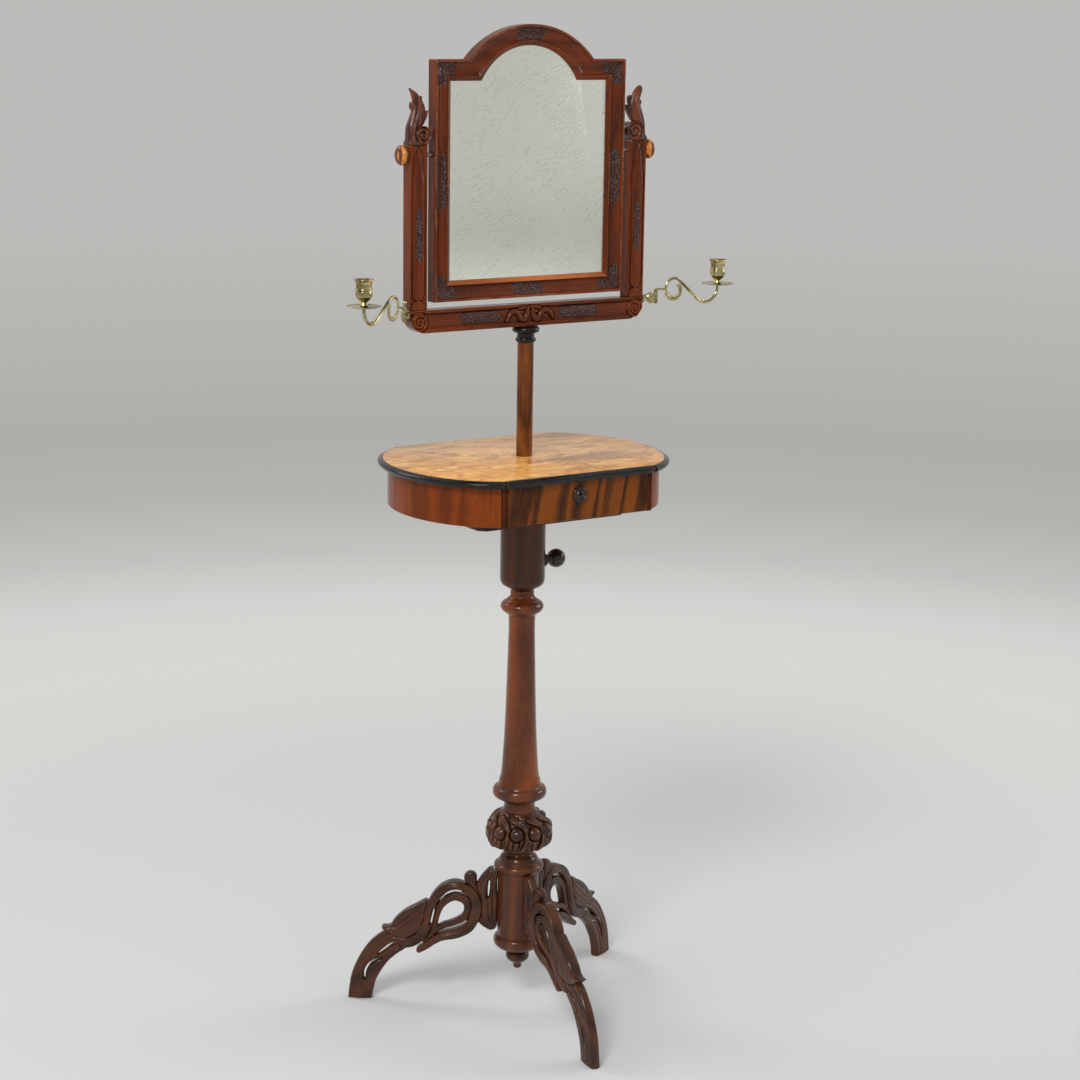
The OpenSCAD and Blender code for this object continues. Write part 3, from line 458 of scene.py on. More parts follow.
def box_outline(low: Point, high: Point) -> list[Point]:
    """Corners of a rectangle, counterclockwise."""
    return [(low[0], low[1]), (high[0], low[1]), (high[0], high[1]), (low[0], high[1])]


def chamfered(low: Point, high: Point, cut: float) -> list[Point]:
    """Outline of a rectangle with its corners cut off, counterclockwise."""
    (x0, y0), (x1, y1) = low, high
    return [(x0, y0 + cut), (x0 + cut, y0), (x1 - cut, y0), (x1, y0 + cut),
            (x1, y1 - cut), (x1 - cut, y1), (x0 + cut, y1), (x0, y1 - cut)]


def tube(path: np.ndarray, radii: Sequence[float], sides: int = 20, flat: float = 1.0) -> Shape:
    """A rod that follows a path in the X and Z plane.

    Args:
        path: Points, one row each.
        radii: Radius at each point.
        sides: Number of sides.
        flat: Width across the plane against the width in it.

    Returns:
        A closed shape.
    """
    step = np.gradient(path, axis=0)
    step /= np.linalg.norm(step, axis=1, keepdims=True)
    side = np.stack([-step[:, 1], step[:, 0]], 1)
    rings = []
    for (x, z), (nx, nz), r in zip(path, side, radii):
        a = np.arange(sides) * 2 * math.pi / sides
        rings.append(np.stack([x + r * np.cos(a) * nx, r * flat * np.sin(a),
                               z + r * np.cos(a) * nz], 1))
    return loft(np.array(rings))


# Flat carving


def groove(away: np.ndarray, width: float) -> np.ndarray:
    """A soft groove's form: 1 on its line, fading out with the distance."""
    return np.exp(-(away / width) ** 2)


def ramp(rise: np.ndarray, width: float = 1.2) -> np.ndarray:
    """A short slope: 0 where the value is well below nought, 1 where it is well above."""
    return np.clip(0.5 + rise / width, 0, 1)


@dataclass(frozen=True)
class Strap:
    """A strap or leaf of a flat carving: place and half width along it, and its form across."""

    points: tuple[Station, ...]
    height: float
    crown: float = 1.2
    ease: float = 3.0
    cut: float = 1.2
    lines: tuple[float, ...] = ()
    line_depth: float = 0.9
    veins: float = 0.0
    vein_pitch: float = 9.0

    def moved(self, shift: float = 0.0, side: int = 1) -> Strap:
        """The same strap elsewhere: mirrored where the side is -1, then shifted along X."""
        return replace(self, points=tuple((side * x + shift, z, w) for x, z, w in self.points))


class Relief:
    """A flat carving on a grid: how far its outline is, and how thick it is on each side."""

    far = 50.0
    slit_scoop = (3.2, 2.6)
    boss_groove = (1.8, 1.3)

    def __init__(self, low: Point, high: Point, step: float) -> None:
        """Lays out the grid.

        Args:
            low, high: Its corners.
            step: Its pitch.
        """
        self.step = step
        self.low = np.array(low, float)
        self.x, self.z = np.meshgrid(np.arange(low[0], high[0] + step, step),
                                     np.arange(low[1], high[1] + step, step), indexing="ij")
        self.outline = np.full(self.x.shape, self.far)
        self.height = np.zeros(self.x.shape)

    def measure(self, line: np.ndarray) -> tuple[np.ndarray, np.ndarray, np.ndarray]:
        """Where each place of the grid lies on a strap.

        Args:
            line: Place and half width of the strap's points.

        Returns:
            Distance outside its edge, place across it from -1 to 1, and length along it.
        """
        away = np.full(self.x.shape, 1e3)
        across, along = np.zeros(self.x.shape), np.zeros(self.x.shape)
        run = 0.0
        for (x0, z0, w0), (x1, z1, w1) in zip(line, line[1:]):
            dx, dz = x1 - x0, z1 - z0
            length = math.hypot(dx, dz) or 1e-6
            t = np.clip(((self.x - x0) * dx + (self.z - z0) * dz) / length ** 2, 0, 1)
            px, pz = self.x - x0 - t * dx, self.z - z0 - t * dz
            distance, width = np.hypot(px, pz), w0 + (w1 - w0) * t
            nearer = distance - width < away
            away = np.where(nearer, distance - width, away)
            across = np.where(nearer, np.sign(dx * pz - dz * px) * distance / width, across)
            along = np.where(nearer, run + t * length, along)
            run += length
        return away, across, along

    def lay(self, strap: Strap) -> None:
        """Lays a strap over what is there.

        Args:
            strap: The strap.
        """
        away, across, along = self.measure(smooth_line(strap.points))
        inside = ramp(-away)
        inside = inside * inside * (3 - 2 * inside)
        edge = np.clip(1 + away / strap.ease, 0, 1)
        top = strap.height - strap.crown * across ** 2
        top -= strap.ease * 0.7 * (1 - np.sqrt(1 - edge ** 2))
        for share in strap.lines:
            top -= strap.line_depth * groove(across - share, 0.09)
        if strap.veins:
            lean = along - np.abs(across) * strap.vein_pitch * 0.9
            top += strap.veins * np.cos(lean * 2 * math.pi / strap.vein_pitch) * np.abs(across)
        self.height -= np.where(away > 0, strap.cut * groove(away, 1.6), 0)
        self.height = self.height * (1 - inside) + top * inside
        self.outline = np.minimum(self.outline, away)

    def pierce(self, points: Sequence[Sequence[float]]) -> None:
        """Cuts a slit right through, with a scooped rim.

        Args:
            points: Place and half width of its points.
        """
        away = self.measure(smooth_line(points))[0]
        self.outline = np.maximum(self.outline, -away)
        depth, reach = self.slit_scoop
        self.height -= depth * groove(np.maximum(away, 0), reach)

    def boss(self, centre: Point, radius: float, height: float) -> None:
        """Sets a ball into the carving, in a narrow groove.

        Args:
            centre: Its place.
            radius: Its radius.
            height: How far its top stands out.
        """
        away = np.hypot(self.x - centre[0], self.z - centre[1])
        ball = height - radius + np.sqrt(np.maximum(radius ** 2 - away ** 2, 0))
        self.height = np.where(away < radius, ball, self.height)
        depth, reach = self.boss_groove
        self.height -= depth * groove(away - radius, reach)
        self.outline = np.minimum(self.outline, away - radius)

    def solid(self, ease: float = 1.6, back: float | None = None, relax: int = 2,
              cut: Callable[[np.ndarray, np.ndarray, np.ndarray], np.ndarray] | None = None) -> Shape:
        """The carving as a closed mesh in the X, Y and Z frame of the grid.

        Args:
            ease: Rounding between its faces and its sides.
            back: Place of a flat back, or None if both sides are carved.
            relax: Rounds of smoothing.
            cut: Gives distances that are positive where something is cut away.

        Returns:
            The shape, which faces -Y.
        """
        reach = float(self.height.max()) + 2 * self.step
        rear = reach if back is None else back + 2 * self.step
        y = np.arange(-reach, rear + self.step, self.step)[None, :, None]
        height, outline = self.height[:, None, :], self.outline[:, None, :]
        depth = np.abs(y) - height if back is None else np.maximum(-y - height, y - back)
        a, b = outline + ease, depth + ease
        inner = np.minimum(np.maximum(a, b), 0)
        block = inner + np.hypot(np.maximum(a, 0), np.maximum(b, 0)) - ease
        if cut is not None:
            block = np.maximum(block, cut(self.x[:, None, :], y, self.z[:, None, :]))
        origin = (self.low[0], -reach, self.low[1])
        return nets(block, np.array(origin), self.step, relax)


def nets(block: np.ndarray, origin: np.ndarray, step: float, relax: int) -> Shape:
    """Surface nets: the skin of a block of distances, one corner per cell that the skin crosses.

    Args:
        block: Distances, negative inside.
        origin: Place of its first value.
        step: Pitch of the grid.
        relax: Rounds of smoothing.

    Returns:
        A closed shape.
    """
    inside = block < 0
    cells = tuple(n - 1 for n in block.shape)
    corners = [(i, j, k) for i in (0, 1) for j in (0, 1) for k in (0, 1)]

    def part(values: np.ndarray, c: tuple[int, int, int]) -> np.ndarray:
        """The values at one corner of every cell."""
        return values[c[0]:c[0] + cells[0], c[1]:c[1] + cells[1], c[2]:c[2] + cells[2]]
    count = sum(part(inside, c).astype(np.int8) for c in corners)
    place = np.argwhere((count > 0) & (count < 8))
    index = np.full(cells, -1, np.int64)
    index[tuple(place.T)] = np.arange(len(place))
    total, hits = np.zeros((len(place), 3)), np.zeros(len(place))
    for c in corners:
        for axis in range(3):
            if c[axis]:
                continue
            d = tuple(v + (axis == n) for n, v in enumerate(c))
            first = block[tuple((place + c).T)]
            second = block[tuple((place + d).T)]
            crossing = (first < 0) != (second < 0)
            t = np.where(crossing, first / np.where(crossing, first - second, 1), 0)
            spot = np.array(c, float) + t[:, None] * (np.array(d) - np.array(c))
            total += np.where(crossing[:, None], spot, 0)
            hits += crossing
    points = place + total / hits[:, None]
    quads = []
    for axis in range(3):
        u, v = (axis + 1) % 3, (axis + 2) % 3
        first = inside[tuple(slice(0, -1) if n == axis else slice(1, -1) for n in range(3))]
        second = inside[tuple(slice(1, None) if n == axis else slice(1, -1) for n in range(3))]
        at = np.argwhere(first != second)
        goes_out = first[tuple(at.T)]
        at = at + [0 if n == axis else 1 for n in range(3)]
        ring = []
        for du, dv in ((0, 0), (1, 0), (1, 1), (0, 1)):
            cell = at.copy()
            cell[:, u] -= du
            cell[:, v] -= dv
            ring.append(index[tuple(cell.T)])
        quad = np.stack(ring, 1)
        quads.append(np.where(goes_out[:, None], quad, quad[:, ::-1]))
    faces = np.vstack(quads)
    for _ in range(relax):
        total, hits = np.zeros_like(points), np.zeros(len(points))
        for n in range(4):
            for a, b in ((n, (n + 1) % 4), ((n + 1) % 4, n)):
                np.add.at(total, faces[:, a], points[faces[:, b]])
                np.add.at(hits, faces[:, a], 1)
        points = 0.5 * points + 0.5 * total / hits[:, None]
    return Shape(origin + step * points, [tuple(f) for f in faces.tolist()])


# Finishes


class Graph:
    """A node tree in the making, with short ways to add nodes and links."""

    def __init__(self, tree: bpy.types.NodeTree) -> None:
        """Takes the tree to build in."""
        self.tree = tree

    @classmethod
    def fresh(cls, owner: bpy.types.Material | bpy.types.World) -> Graph:
        """Empties the node tree of a material or a world and takes it.

        Args:
            owner: The material or the world.

        Returns:
            The graph of its tree.
        """
        owner.use_nodes = True
        owner.node_tree.nodes.clear()
        return cls(owner.node_tree)

    def feed(self, socket: bpy.types.NodeSocket, value: object) -> None:
        """Gives an input its own value, or links a socket to it.

        Args:
            socket: The input.
            value: The value, or the socket to link.
        """
        if isinstance(value, bpy.types.NodeSocket):
            self.tree.links.new(value, socket)
        else:
            socket.default_value = value

    def add(self, kind: str, inputs: dict[str | int, object] | None = None,
            **settings: object) -> bpy.types.Node:
        """Adds a node.

        Args:
            kind: Its type, without the ShaderNode in front.
            inputs: A value or a socket for each input.
            settings: Its properties.

        Returns:
            The node.
        """
        node = self.tree.nodes.new("ShaderNode" + kind)
        for key, value in settings.items():
            setattr(node, key, value)
        for key, value in (inputs or {}).items():
            self.feed(node.inputs[key], value)
        return node

    def math(self, operation: str, *values: object) -> bpy.types.NodeSocket:
        """Works out one number from others.

        Args:
            operation: Blender's name of it.
            values: Values or sockets.

        Returns:
            The result's socket.
        """
        return self.add("Math", dict(enumerate(values)), operation=operation).outputs[0]

    def fade(self, value: object, start: float, stop: float) -> bpy.types.NodeSocket:
        """A soft step.

        Args:
            value: The socket to look at.
            start, stop: Values at which the result is 0 and 1.

        Returns:
            The result's socket.
        """
        step = self.add("MapRange", {0: value, 1: start, 2: stop}, interpolation_type="SMOOTHSTEP")
        return step.outputs[0]

    def mix(self, share: object, first: object, second: object) -> bpy.types.NodeSocket:
        """Blends two colours.

        Args:
            share: How much of the second one.
            first, second: Colours or sockets.

        Returns:
            The result's socket.
        """
        def paint(value: object) -> object:
            """A colour with its fourth number."""
            return (*value, 1.0) if isinstance(value, tuple) and len(value) == 3 else value
        node = self.add("Mix", {0: share, 6: paint(first), 7: paint(second)}, data_type="RGBA")
        return node.outputs[2]

    def noise(self, vector: object, scale: float, detail: float = 3,
              rough: float = 0.55) -> bpy.types.NodeSocket:
        """Noise of one scale.

        Args:
            vector: Where to read it.
            scale: Features per metre.
            detail: Number of finer layers.
            rough: Strength of the finer layers.

        Returns:
            The value's socket.
        """
        return self.add("TexNoise", {"Vector": vector, "Scale": scale, "Detail": detail,
                                     "Roughness": rough}).outputs["Fac"]

    def stretch(self, vector: object, scale: tuple[float, float, float],
                turn: tuple[float, float, float] = (0, 0, 0)) -> bpy.types.NodeSocket:
        """Scales and turns a vector.

        Args:
            vector: The vector.
            scale: Factors.
            turn: Angles in degrees.

        Returns:
            The result's socket.
        """
        angles = tuple(math.radians(a) for a in turn)
        return self.add("Mapping", {"Vector": vector, "Scale": scale, "Rotation": angles}).outputs[0]


class Effect:
    """A shader node group: one effect that several finishes share."""

    made: dict[str, bpy.types.NodeTree] = {}

    def __init__(self, name: str, inputs: dict[str, object], outputs: Sequence[str],
                 build: Callable[[Graph, bpy.types.Node], dict[str, object]]) -> None:
        """Names the effect and says how it is built.

        Args:
            name: The group's name.
            inputs: Name and default of each input.
            outputs: Names of the outputs.
            build: Makes the nodes and gives the sockets for the outputs.
        """
        self.name, self.inputs, self.outputs, self.build = name, inputs, outputs, build

    def tree(self) -> bpy.types.NodeTree:
        """Builds the group once.

        Returns:
            The group.
        """
        if self.name in Effect.made:
            return Effect.made[self.name]
        tree = bpy.data.node_groups.new(self.name, "ShaderNodeTree")
        for name, default in self.inputs.items():
            kind = "NodeSocketVector" if isinstance(default, tuple) else "NodeSocketFloat"
            socket = tree.interface.new_socket(name, in_out="INPUT", socket_type=kind)
            socket.default_value = default
        for name in self.outputs:
            tree.interface.new_socket(name, in_out="OUTPUT", socket_type="NodeSocketFloat")
        enter, leave = tree.nodes.new("NodeGroupInput"), tree.nodes.new("NodeGroupOutput")
        for name, socket in self.build(Graph(tree), enter).items():
            tree.links.new(socket, leave.inputs[name])
        Effect.made[self.name] = tree
        return tree

    def place(self, graph: Graph, **values: object) -> bpy.types.Node:
        """Puts the group into a material.

        Args:
            graph: The material's tree.
            values: Inputs, with their spaces as underscores.

        Returns:
            The group's node.
        """
        node = graph.add("Group", node_tree=self.tree())
        for key, value in values.items():
            graph.feed(node.inputs[key.replace("_", " ")], value)
        return node


def _wood_figure(g: Graph, enter: bpy.types.Node) -> dict[str, object]:
    """Year rings, fibre and pores of a board whose grain runs along Z.

    Args:
        g: The group's graph.
        enter: The node with the group's inputs.

    Returns:
        A socket for each output.
    """
    at = enter.outputs["Vector"]
    long = g.stretch(at, (1, 1, 0.09))
    bend = g.add("TexNoise", {"Vector": long, "Scale": 9.0, "Detail": 2.0})
    shift = g.add("VectorMath", {0: bend.outputs["Color"], 1: (0.5, 0.5, 0.5)}, operation="SUBTRACT")
    push = g.add("VectorMath", {0: shift.outputs[0], "Scale": enter.outputs["Warp"]}, operation="SCALE")
    bent = g.add("VectorMath", {0: long, 1: push.outputs[0]}, operation="ADD").outputs[0]
    field = g.add("TexNoise", {"Vector": bent, "Scale": enter.outputs["Ring Scale"], "Detail": 1.5})
    rings = g.math("SINE", g.math("MULTIPLY", field.outputs["Fac"], enter.outputs["Rings"]))
    rings = g.math("MULTIPLY_ADD", rings, 0.5, 0.5)
    fibre = g.noise(g.stretch(bent, (1, 1, 0.35)), 750, 3, 0.6)
    pores = g.fade(g.noise(g.stretch(at, (1, 1, 0.045)), 1900, 2, 0.5), 0.6, 0.7)
    return {"Figure": rings, "Fibre": fibre, "Pores": pores}


def _handling(g: Graph, enter: bpy.types.Node) -> dict[str, object]:
    """Rubbed edges, soiling and painted shade in hollows, and uneven patches of old polish.

    Args:
        g: The group's graph.
        enter: The node with the group's inputs.

    Returns:
        A socket for each output.
    """
    edges, hollows = (0.52, 0.58), (0.42, 0.497)
    point = g.add("NewGeometry").outputs["Pointiness"]
    at = enter.outputs["Vector"]
    patch = g.noise(at, 24, 4, 0.65)
    fleck = g.noise(at, 210, 3, 0.7)
    rub = g.math("MULTIPLY", g.fade(point, *edges), g.fade(patch, 0.36, 0.62))
    rub = g.math("MULTIPLY", rub, g.fade(fleck, 0.3, 0.55))
    # Hollows found by pointiness: a mask that darkens them, partly for soiling and partly as painted shade in
    # the crevices.
    dirt_and_shade = g.math("SUBTRACT", 1.0, g.fade(point, *hollows))
    return {"Worn": rub, "Grime": dirt_and_shade, "Patch": patch, "Fleck": g.fade(fleck, 0.66, 0.76)}


def _stipple(g: Graph, enter: bpy.types.Node) -> dict[str, object]:
    """Close rows of punch marks."""
    cells = g.add("TexVoronoi", {"Vector": enter.outputs["Vector"], "Scale": enter.outputs["Marks"],
                                 "Randomness": 0.75})
    return {"Pit": g.fade(cells.outputs["Distance"], 0.55, 0.1)}


def _scratches(g: Graph, enter: bpy.types.Node) -> dict[str, object]:
    """Short strokes and nicks in old silvering, most of them leaning one way.

    Args:
        g: The group's graph.
        enter: The node with the group's inputs.

    Returns:
        A socket for each output.
    """
    at = enter.outputs["Vector"]
    area = g.noise(at, 9, 5, 0.7)
    marks = []
    for lean, drawn, scale, start, stop in ((-38, 0.14, 400, 0.5, 0.6), (-70, 0.2, 330, 0.56, 0.44),
                                            (28, 0.2, 360, 0.5, 0.64), (78, 0.24, 420, 0.5, 0.4)):
        line = g.noise(g.stretch(g.stretch(at, (1, 1, 1), (0, lean, 0)), (1, 1, drawn)), scale, 2, 0.6)
        marks.append(g.math("MULTIPLY", g.fade(line, 0.6, 0.66), g.fade(area, start, stop)))
    return {"Mark": reduce(lambda one, other: g.math("MAXIMUM", one, other), marks)}


ORIGIN = (0.0, 0.0, 0.0)
WOOD_FIGURE = Effect("wood_figure", {"Vector": ORIGIN, "Ring Scale": 8.0, "Rings": 60.0, "Warp": 0.02},
                     ("Figure", "Fibre", "Pores"), _wood_figure)
HANDLING = Effect("handling", {"Vector": ORIGIN}, ("Worn", "Grime", "Patch", "Fleck"), _handling)
SCRATCHES = Effect("scratches", {"Vector": ORIGIN}, ("Mark",), _scratches)
STIPPLE = Effect("stipple", {"Vector": ORIGIN, "Marks": 500.0}, ("Pit",), _stipple)


@dataclass(frozen=True)
class Finish:
    """What every finish has: a name and a place to read its pattern from."""

    name: str
    board: Along | None = None

    def begin(self) -> tuple[bpy.types.Material, Graph, bpy.types.NodeSocket]:
        """Starts the material.

        Returns:
            The material, its graph and the socket of the wood's own coordinates.
        """
        material = bpy.data.materials.new(self.name)
        g = Graph.fresh(material)
        if self.board is None:
            return material, g, g.add("Attribute", attribute_name="grain").outputs["Vector"]
        at = g.add("TexCoord").outputs["Object"]
        parts = g.add("SeparateXYZ", {0: at}).outputs
        joined = g.add("CombineXYZ", {n: parts[k] for n, k in enumerate(self.board.value)})
        return material, g, joined.outputs[0]

    def end(self, g: Graph, height: bpy.types.NodeSocket, depth: float, **inputs: object) -> None:
        """Adds the bump, the shader and the output.

        Args:
            g: The material's graph.
            height: Height from 0 to 1.
            depth: What 1 is in metres.
            inputs: Values or sockets of the shader, with their spaces as underscores.
        """
        bump = g.add("Bump", {"Height": height, "Distance": depth, "Strength": 1.0})
        values = {k.replace("_", " "): v for k, v in inputs.items()}
        shader = g.add("BsdfPrincipled", {"Normal": bump.outputs[0], **values})
        g.add("OutputMaterial", {"Surface": shader.outputs[0]})


@dataclass(frozen=True)
class PolishedWood(Finish):
    """Polished hardwood with figure, pores, soiling and painted shade in its hollows, and rubbed edges."""

    light: Colour = srgb(120, 68, 36)
    dark: Colour = srgb(70, 36, 20)
    worn: Colour = srgb(170, 112, 66)
    grime_and_shade: Colour = srgb(24, 14, 10)
    figure: float = 0.55
    rings: float = 60.0
    ring_scale: float = 8.0
    warp: float = 0.02
    lean: float = 0.0
    wear: float = 0.6
    dirt_and_shade: float = 0.7
    gloss: float = 0.3
    coat: float = 0.08
    relief: float = 0.00012
    shine: float = 0.22
    open_pores: float = 0.5
    patchy: float = 0.45
    punched: bool = False

    def material(self) -> bpy.types.Material:
        """Builds the material.

        Returns:
            The material.
        """
        material, g, at = self.begin()
        if self.lean:
            at = g.stretch(at, (1, 1, 1), (0, self.lean, 0))
        wood = WOOD_FIGURE.place(g, Vector=at, Ring_Scale=self.ring_scale, Rings=self.rings,
                                 Warp=self.warp).outputs
        hand = HANDLING.place(g, Vector=at).outputs
        streak = g.math("MULTIPLY", wood["Figure"], self.figure)
        streak = g.math("ADD", streak, g.math("MULTIPLY", wood["Fibre"], 0.9 - self.figure * 0.6))
        streak = g.math("ADD", streak, g.math("MULTIPLY", hand["Patch"], self.patchy))
        tone = g.mix(g.fade(streak, 0.25, 1.15), self.light, self.dark)
        tone = g.mix(g.math("MULTIPLY", wood["Pores"], self.open_pores), tone, self.grime_and_shade)
        # Darkens the hollows towards the near-black colour: soiling together with painted shade.
        tone = g.mix(g.math("MULTIPLY", hand["Grime"], self.dirt_and_shade), tone, self.grime_and_shade)
        tone = g.mix(g.math("MULTIPLY", hand["Worn"], self.wear), tone, self.worn)
        rough = g.math("ADD", g.math("MULTIPLY", hand["Patch"], 0.22), self.gloss - 0.1)
        rough = g.math("ADD", rough, g.math("MULTIPLY", hand["Grime"], 0.2))
        height = g.math("SUBTRACT", g.math("MULTIPLY", wood["Fibre"], 0.5), wood["Pores"])
        height = g.math("ADD", height, g.math("MULTIPLY", g.noise(at, 90, 3), 2.2))
        if self.punched:
            tone, rough, height = self.punch(g, at, tone, rough, height)
        self.end(g, height, self.relief, Base_Color=tone, Roughness=rough, Coat_Weight=self.coat,
                 Coat_Roughness=0.12, Specular_IOR_Level=self.shine)
        return material

    def punch(self, g: Graph, at: bpy.types.NodeSocket, tone: bpy.types.NodeSocket,
              rough: bpy.types.NodeSocket, height: bpy.types.NodeSocket) -> tuple[bpy.types.NodeSocket, ...]:
        """Adds the dark punched panels, where the mesh says that they are, with painted shade in the pits and
        painted glints on the rims between them.

        Args:
            g: The material's graph.
            at: The wood's own coordinates.
            tone, rough, height: What the wood is without them.

        Returns:
            Colour, roughness and height with them.
        """
        inside = g.fade(g.add("Attribute", attribute_name="panel").outputs["Fac"], -0.0001, -0.0007)
        pit = STIPPLE.place(g, Vector=at, Marks=430.0).outputs["Pit"]
        # The pits darken towards near-black as painted shade, and pale flecks on the rims between them are
        # painted glints.
        fleck = g.fade(g.noise(at, 620, 2), 0.54, 0.62)
        ground = g.mix(pit, srgb(60, 31, 24), srgb(14, 5, 4))
        ground = g.mix(g.math("MULTIPLY", g.math("SUBTRACT", 1.0, pit), fleck), ground, srgb(128, 100, 92))
        tone = g.mix(inside, tone, ground)
        rough = g.math("ADD", rough, g.math("MULTIPLY", inside, 0.06))
        pits = g.math("MULTIPLY", g.math("MULTIPLY", inside, pit), -3.2)
        return tone, rough, g.math("ADD", g.math("ADD", height, pits), g.math("MULTIPLY", inside, -1.5))


@dataclass(frozen=True)
class BurlVeneer(Finish):
    """Glossy burl veneer: clouds, curls and dark eyes, drawn out along the table."""

    def material(self) -> bpy.types.Material:
        """Builds the material.

        Returns:
            The material.
        """
        material, g, at = self.begin()
        drawn = g.stretch(at, (1, 1, 0.42))
        warp = g.add("TexNoise", {"Vector": drawn, "Scale": 14.0, "Detail": 4.0, "Distortion": 1.4})
        push = g.add("VectorMath", {0: warp.outputs["Color"], "Scale": 0.06}, operation="SCALE").outputs[0]
        bent = g.add("VectorMath", {0: drawn, 1: push}, operation="ADD").outputs[0]
        curl = g.noise(bent, 42, 6, 0.7)
        cloud = g.noise(bent, 10, 5, 0.62)
        lines = g.math("SINE", g.math("MULTIPLY", g.noise(bent, 13, 3), 46.0))
        eyes = g.add("TexVoronoi", {"Vector": bent, "Scale": 70.0, "Randomness": 1.0}).outputs["Distance"]
        tone = g.mix(g.fade(curl, 0.34, 0.66), srgb(255, 200, 118), srgb(226, 150, 72))
        tone = g.mix(g.math("MULTIPLY", g.fade(lines, 0.5, 1.0), 0.5), tone, srgb(164, 98, 42))
        tone = g.mix(g.math("MULTIPLY", g.fade(cloud, 0.5, 0.7), 0.7), tone, srgb(140, 92, 54))
        knots = g.math("MULTIPLY", g.fade(eyes, 0.2, 0.05), g.fade(cloud, 0.42, 0.6))
        tone = g.mix(knots, tone, srgb(84, 48, 26))
        fleck = g.fade(g.noise(g.stretch(at, (1, 1, 0.12)), 700, 2), 0.6, 0.72)
        tone = g.mix(g.math("MULTIPLY", fleck, 0.4), tone, srgb(128, 80, 44))
        hand = HANDLING.place(g, Vector=at).outputs
        rough = g.math("MULTIPLY_ADD", hand["Patch"], 0.16, 0.1)
        height = g.math("ADD", g.noise(at, 40, 3), g.math("MULTIPLY", fleck, -0.2))
        self.end(g, height, 0.0002, Base_Color=tone, Roughness=rough, Coat_Weight=0.12, Coat_Roughness=0.06,
                 Specular_IOR_Level=0.25)
        return material


@dataclass(frozen=True)
class Metal(Finish):
    """Brass or iron with a dull skin, brighter where it is handled and dark in its hollows."""

    bright: Colour = srgb(214, 202, 156)
    dull: Colour = srgb(112, 100, 60)
    dark: Colour = srgb(30, 24, 11)
    gloss: float = 0.17

    def material(self) -> bpy.types.Material:
        """Builds the material.

        Returns:
            The material.
        """
        material, g, at = self.begin()
        hand = HANDLING.place(g, Vector=at).outputs
        skin = g.noise(at, 26, 4, 0.6)
        tone = g.mix(g.fade(skin, 0.35, 0.65), self.bright, self.dull)
        tone = g.mix(g.math("MULTIPLY", hand["Grime"], 0.9), tone, self.dark)
        tone = g.mix(g.math("MULTIPLY", hand["Fleck"], 0.5), tone, self.dark)
        tone = g.mix(g.math("MULTIPLY", hand["Worn"], 0.7), tone, self.bright)
        rough = g.math("MULTIPLY_ADD", skin, 0.3, self.gloss - 0.12)
        self.end(g, g.noise(at, 120, 2), 0.00008, Base_Color=tone, Roughness=rough, Metallic=1.0)
        return material


@dataclass(frozen=True)
class OldMirror(Finish):
    """Old silvered glass: pale and dull, with short strokes drawn with a painted highlight on one side and a
    painted shadow on the other.
    """

    def material(self) -> bpy.types.Material:
        """Builds the material.

        Returns:
            The material.
        """
        material, g, at = self.begin()
        strokes = SCRATCHES.place(g, Vector=at).outputs
        shadow = g.add("VectorMath", {0: at, 1: (0.0007, 0.0, -0.0005)}, operation="ADD").outputs[0]
        shaded = SCRATCHES.place(g, Vector=shadow).outputs
        # An offset copy of the strokes gives a painted highlight on one side of each stroke and a painted
        # shadow on the other.
        bright = g.math("MAXIMUM", g.math("SUBTRACT", strokes["Mark"], shaded["Mark"]), 0.0)
        painted_shadow_side = g.math("MAXIMUM", g.math("SUBTRACT", shaded["Mark"], strokes["Mark"]), 0.0)
        cloud = g.noise(at, 5, 3)
        tone = g.mix(g.fade(cloud, 0.3, 0.7), srgb(254, 255, 248), srgb(247, 249, 234))
        tone = g.mix(g.math("MULTIPLY", painted_shadow_side, 0.75), tone, srgb(150, 154, 142))
        tone = g.mix(g.math("MULTIPLY", bright, 0.9), tone, srgb(255, 255, 252))
        rough = g.math("MULTIPLY_ADD", strokes["Mark"], 0.12, 0.17)
        self.end(g, g.noise(at, 14, 2), 0.00004, Base_Color=tone, Roughness=rough, Metallic=1.0)
        return material


def pine(name: str, along: Along, light: Colour = srgb(205, 165, 112),
         dark: Colour = srgb(176, 128, 78)) -> PolishedWood:
    """Bare softwood of the boards that stay hidden."""
    return PolishedWood(name, along, light=light, dark=dark, figure=0.8, rings=70.0, wear=0.0, patchy=0.2,
                        gloss=0.55, coat=0.0, dirt_and_shade=0.1)


MADE: dict[str, bpy.types.Material] = {}


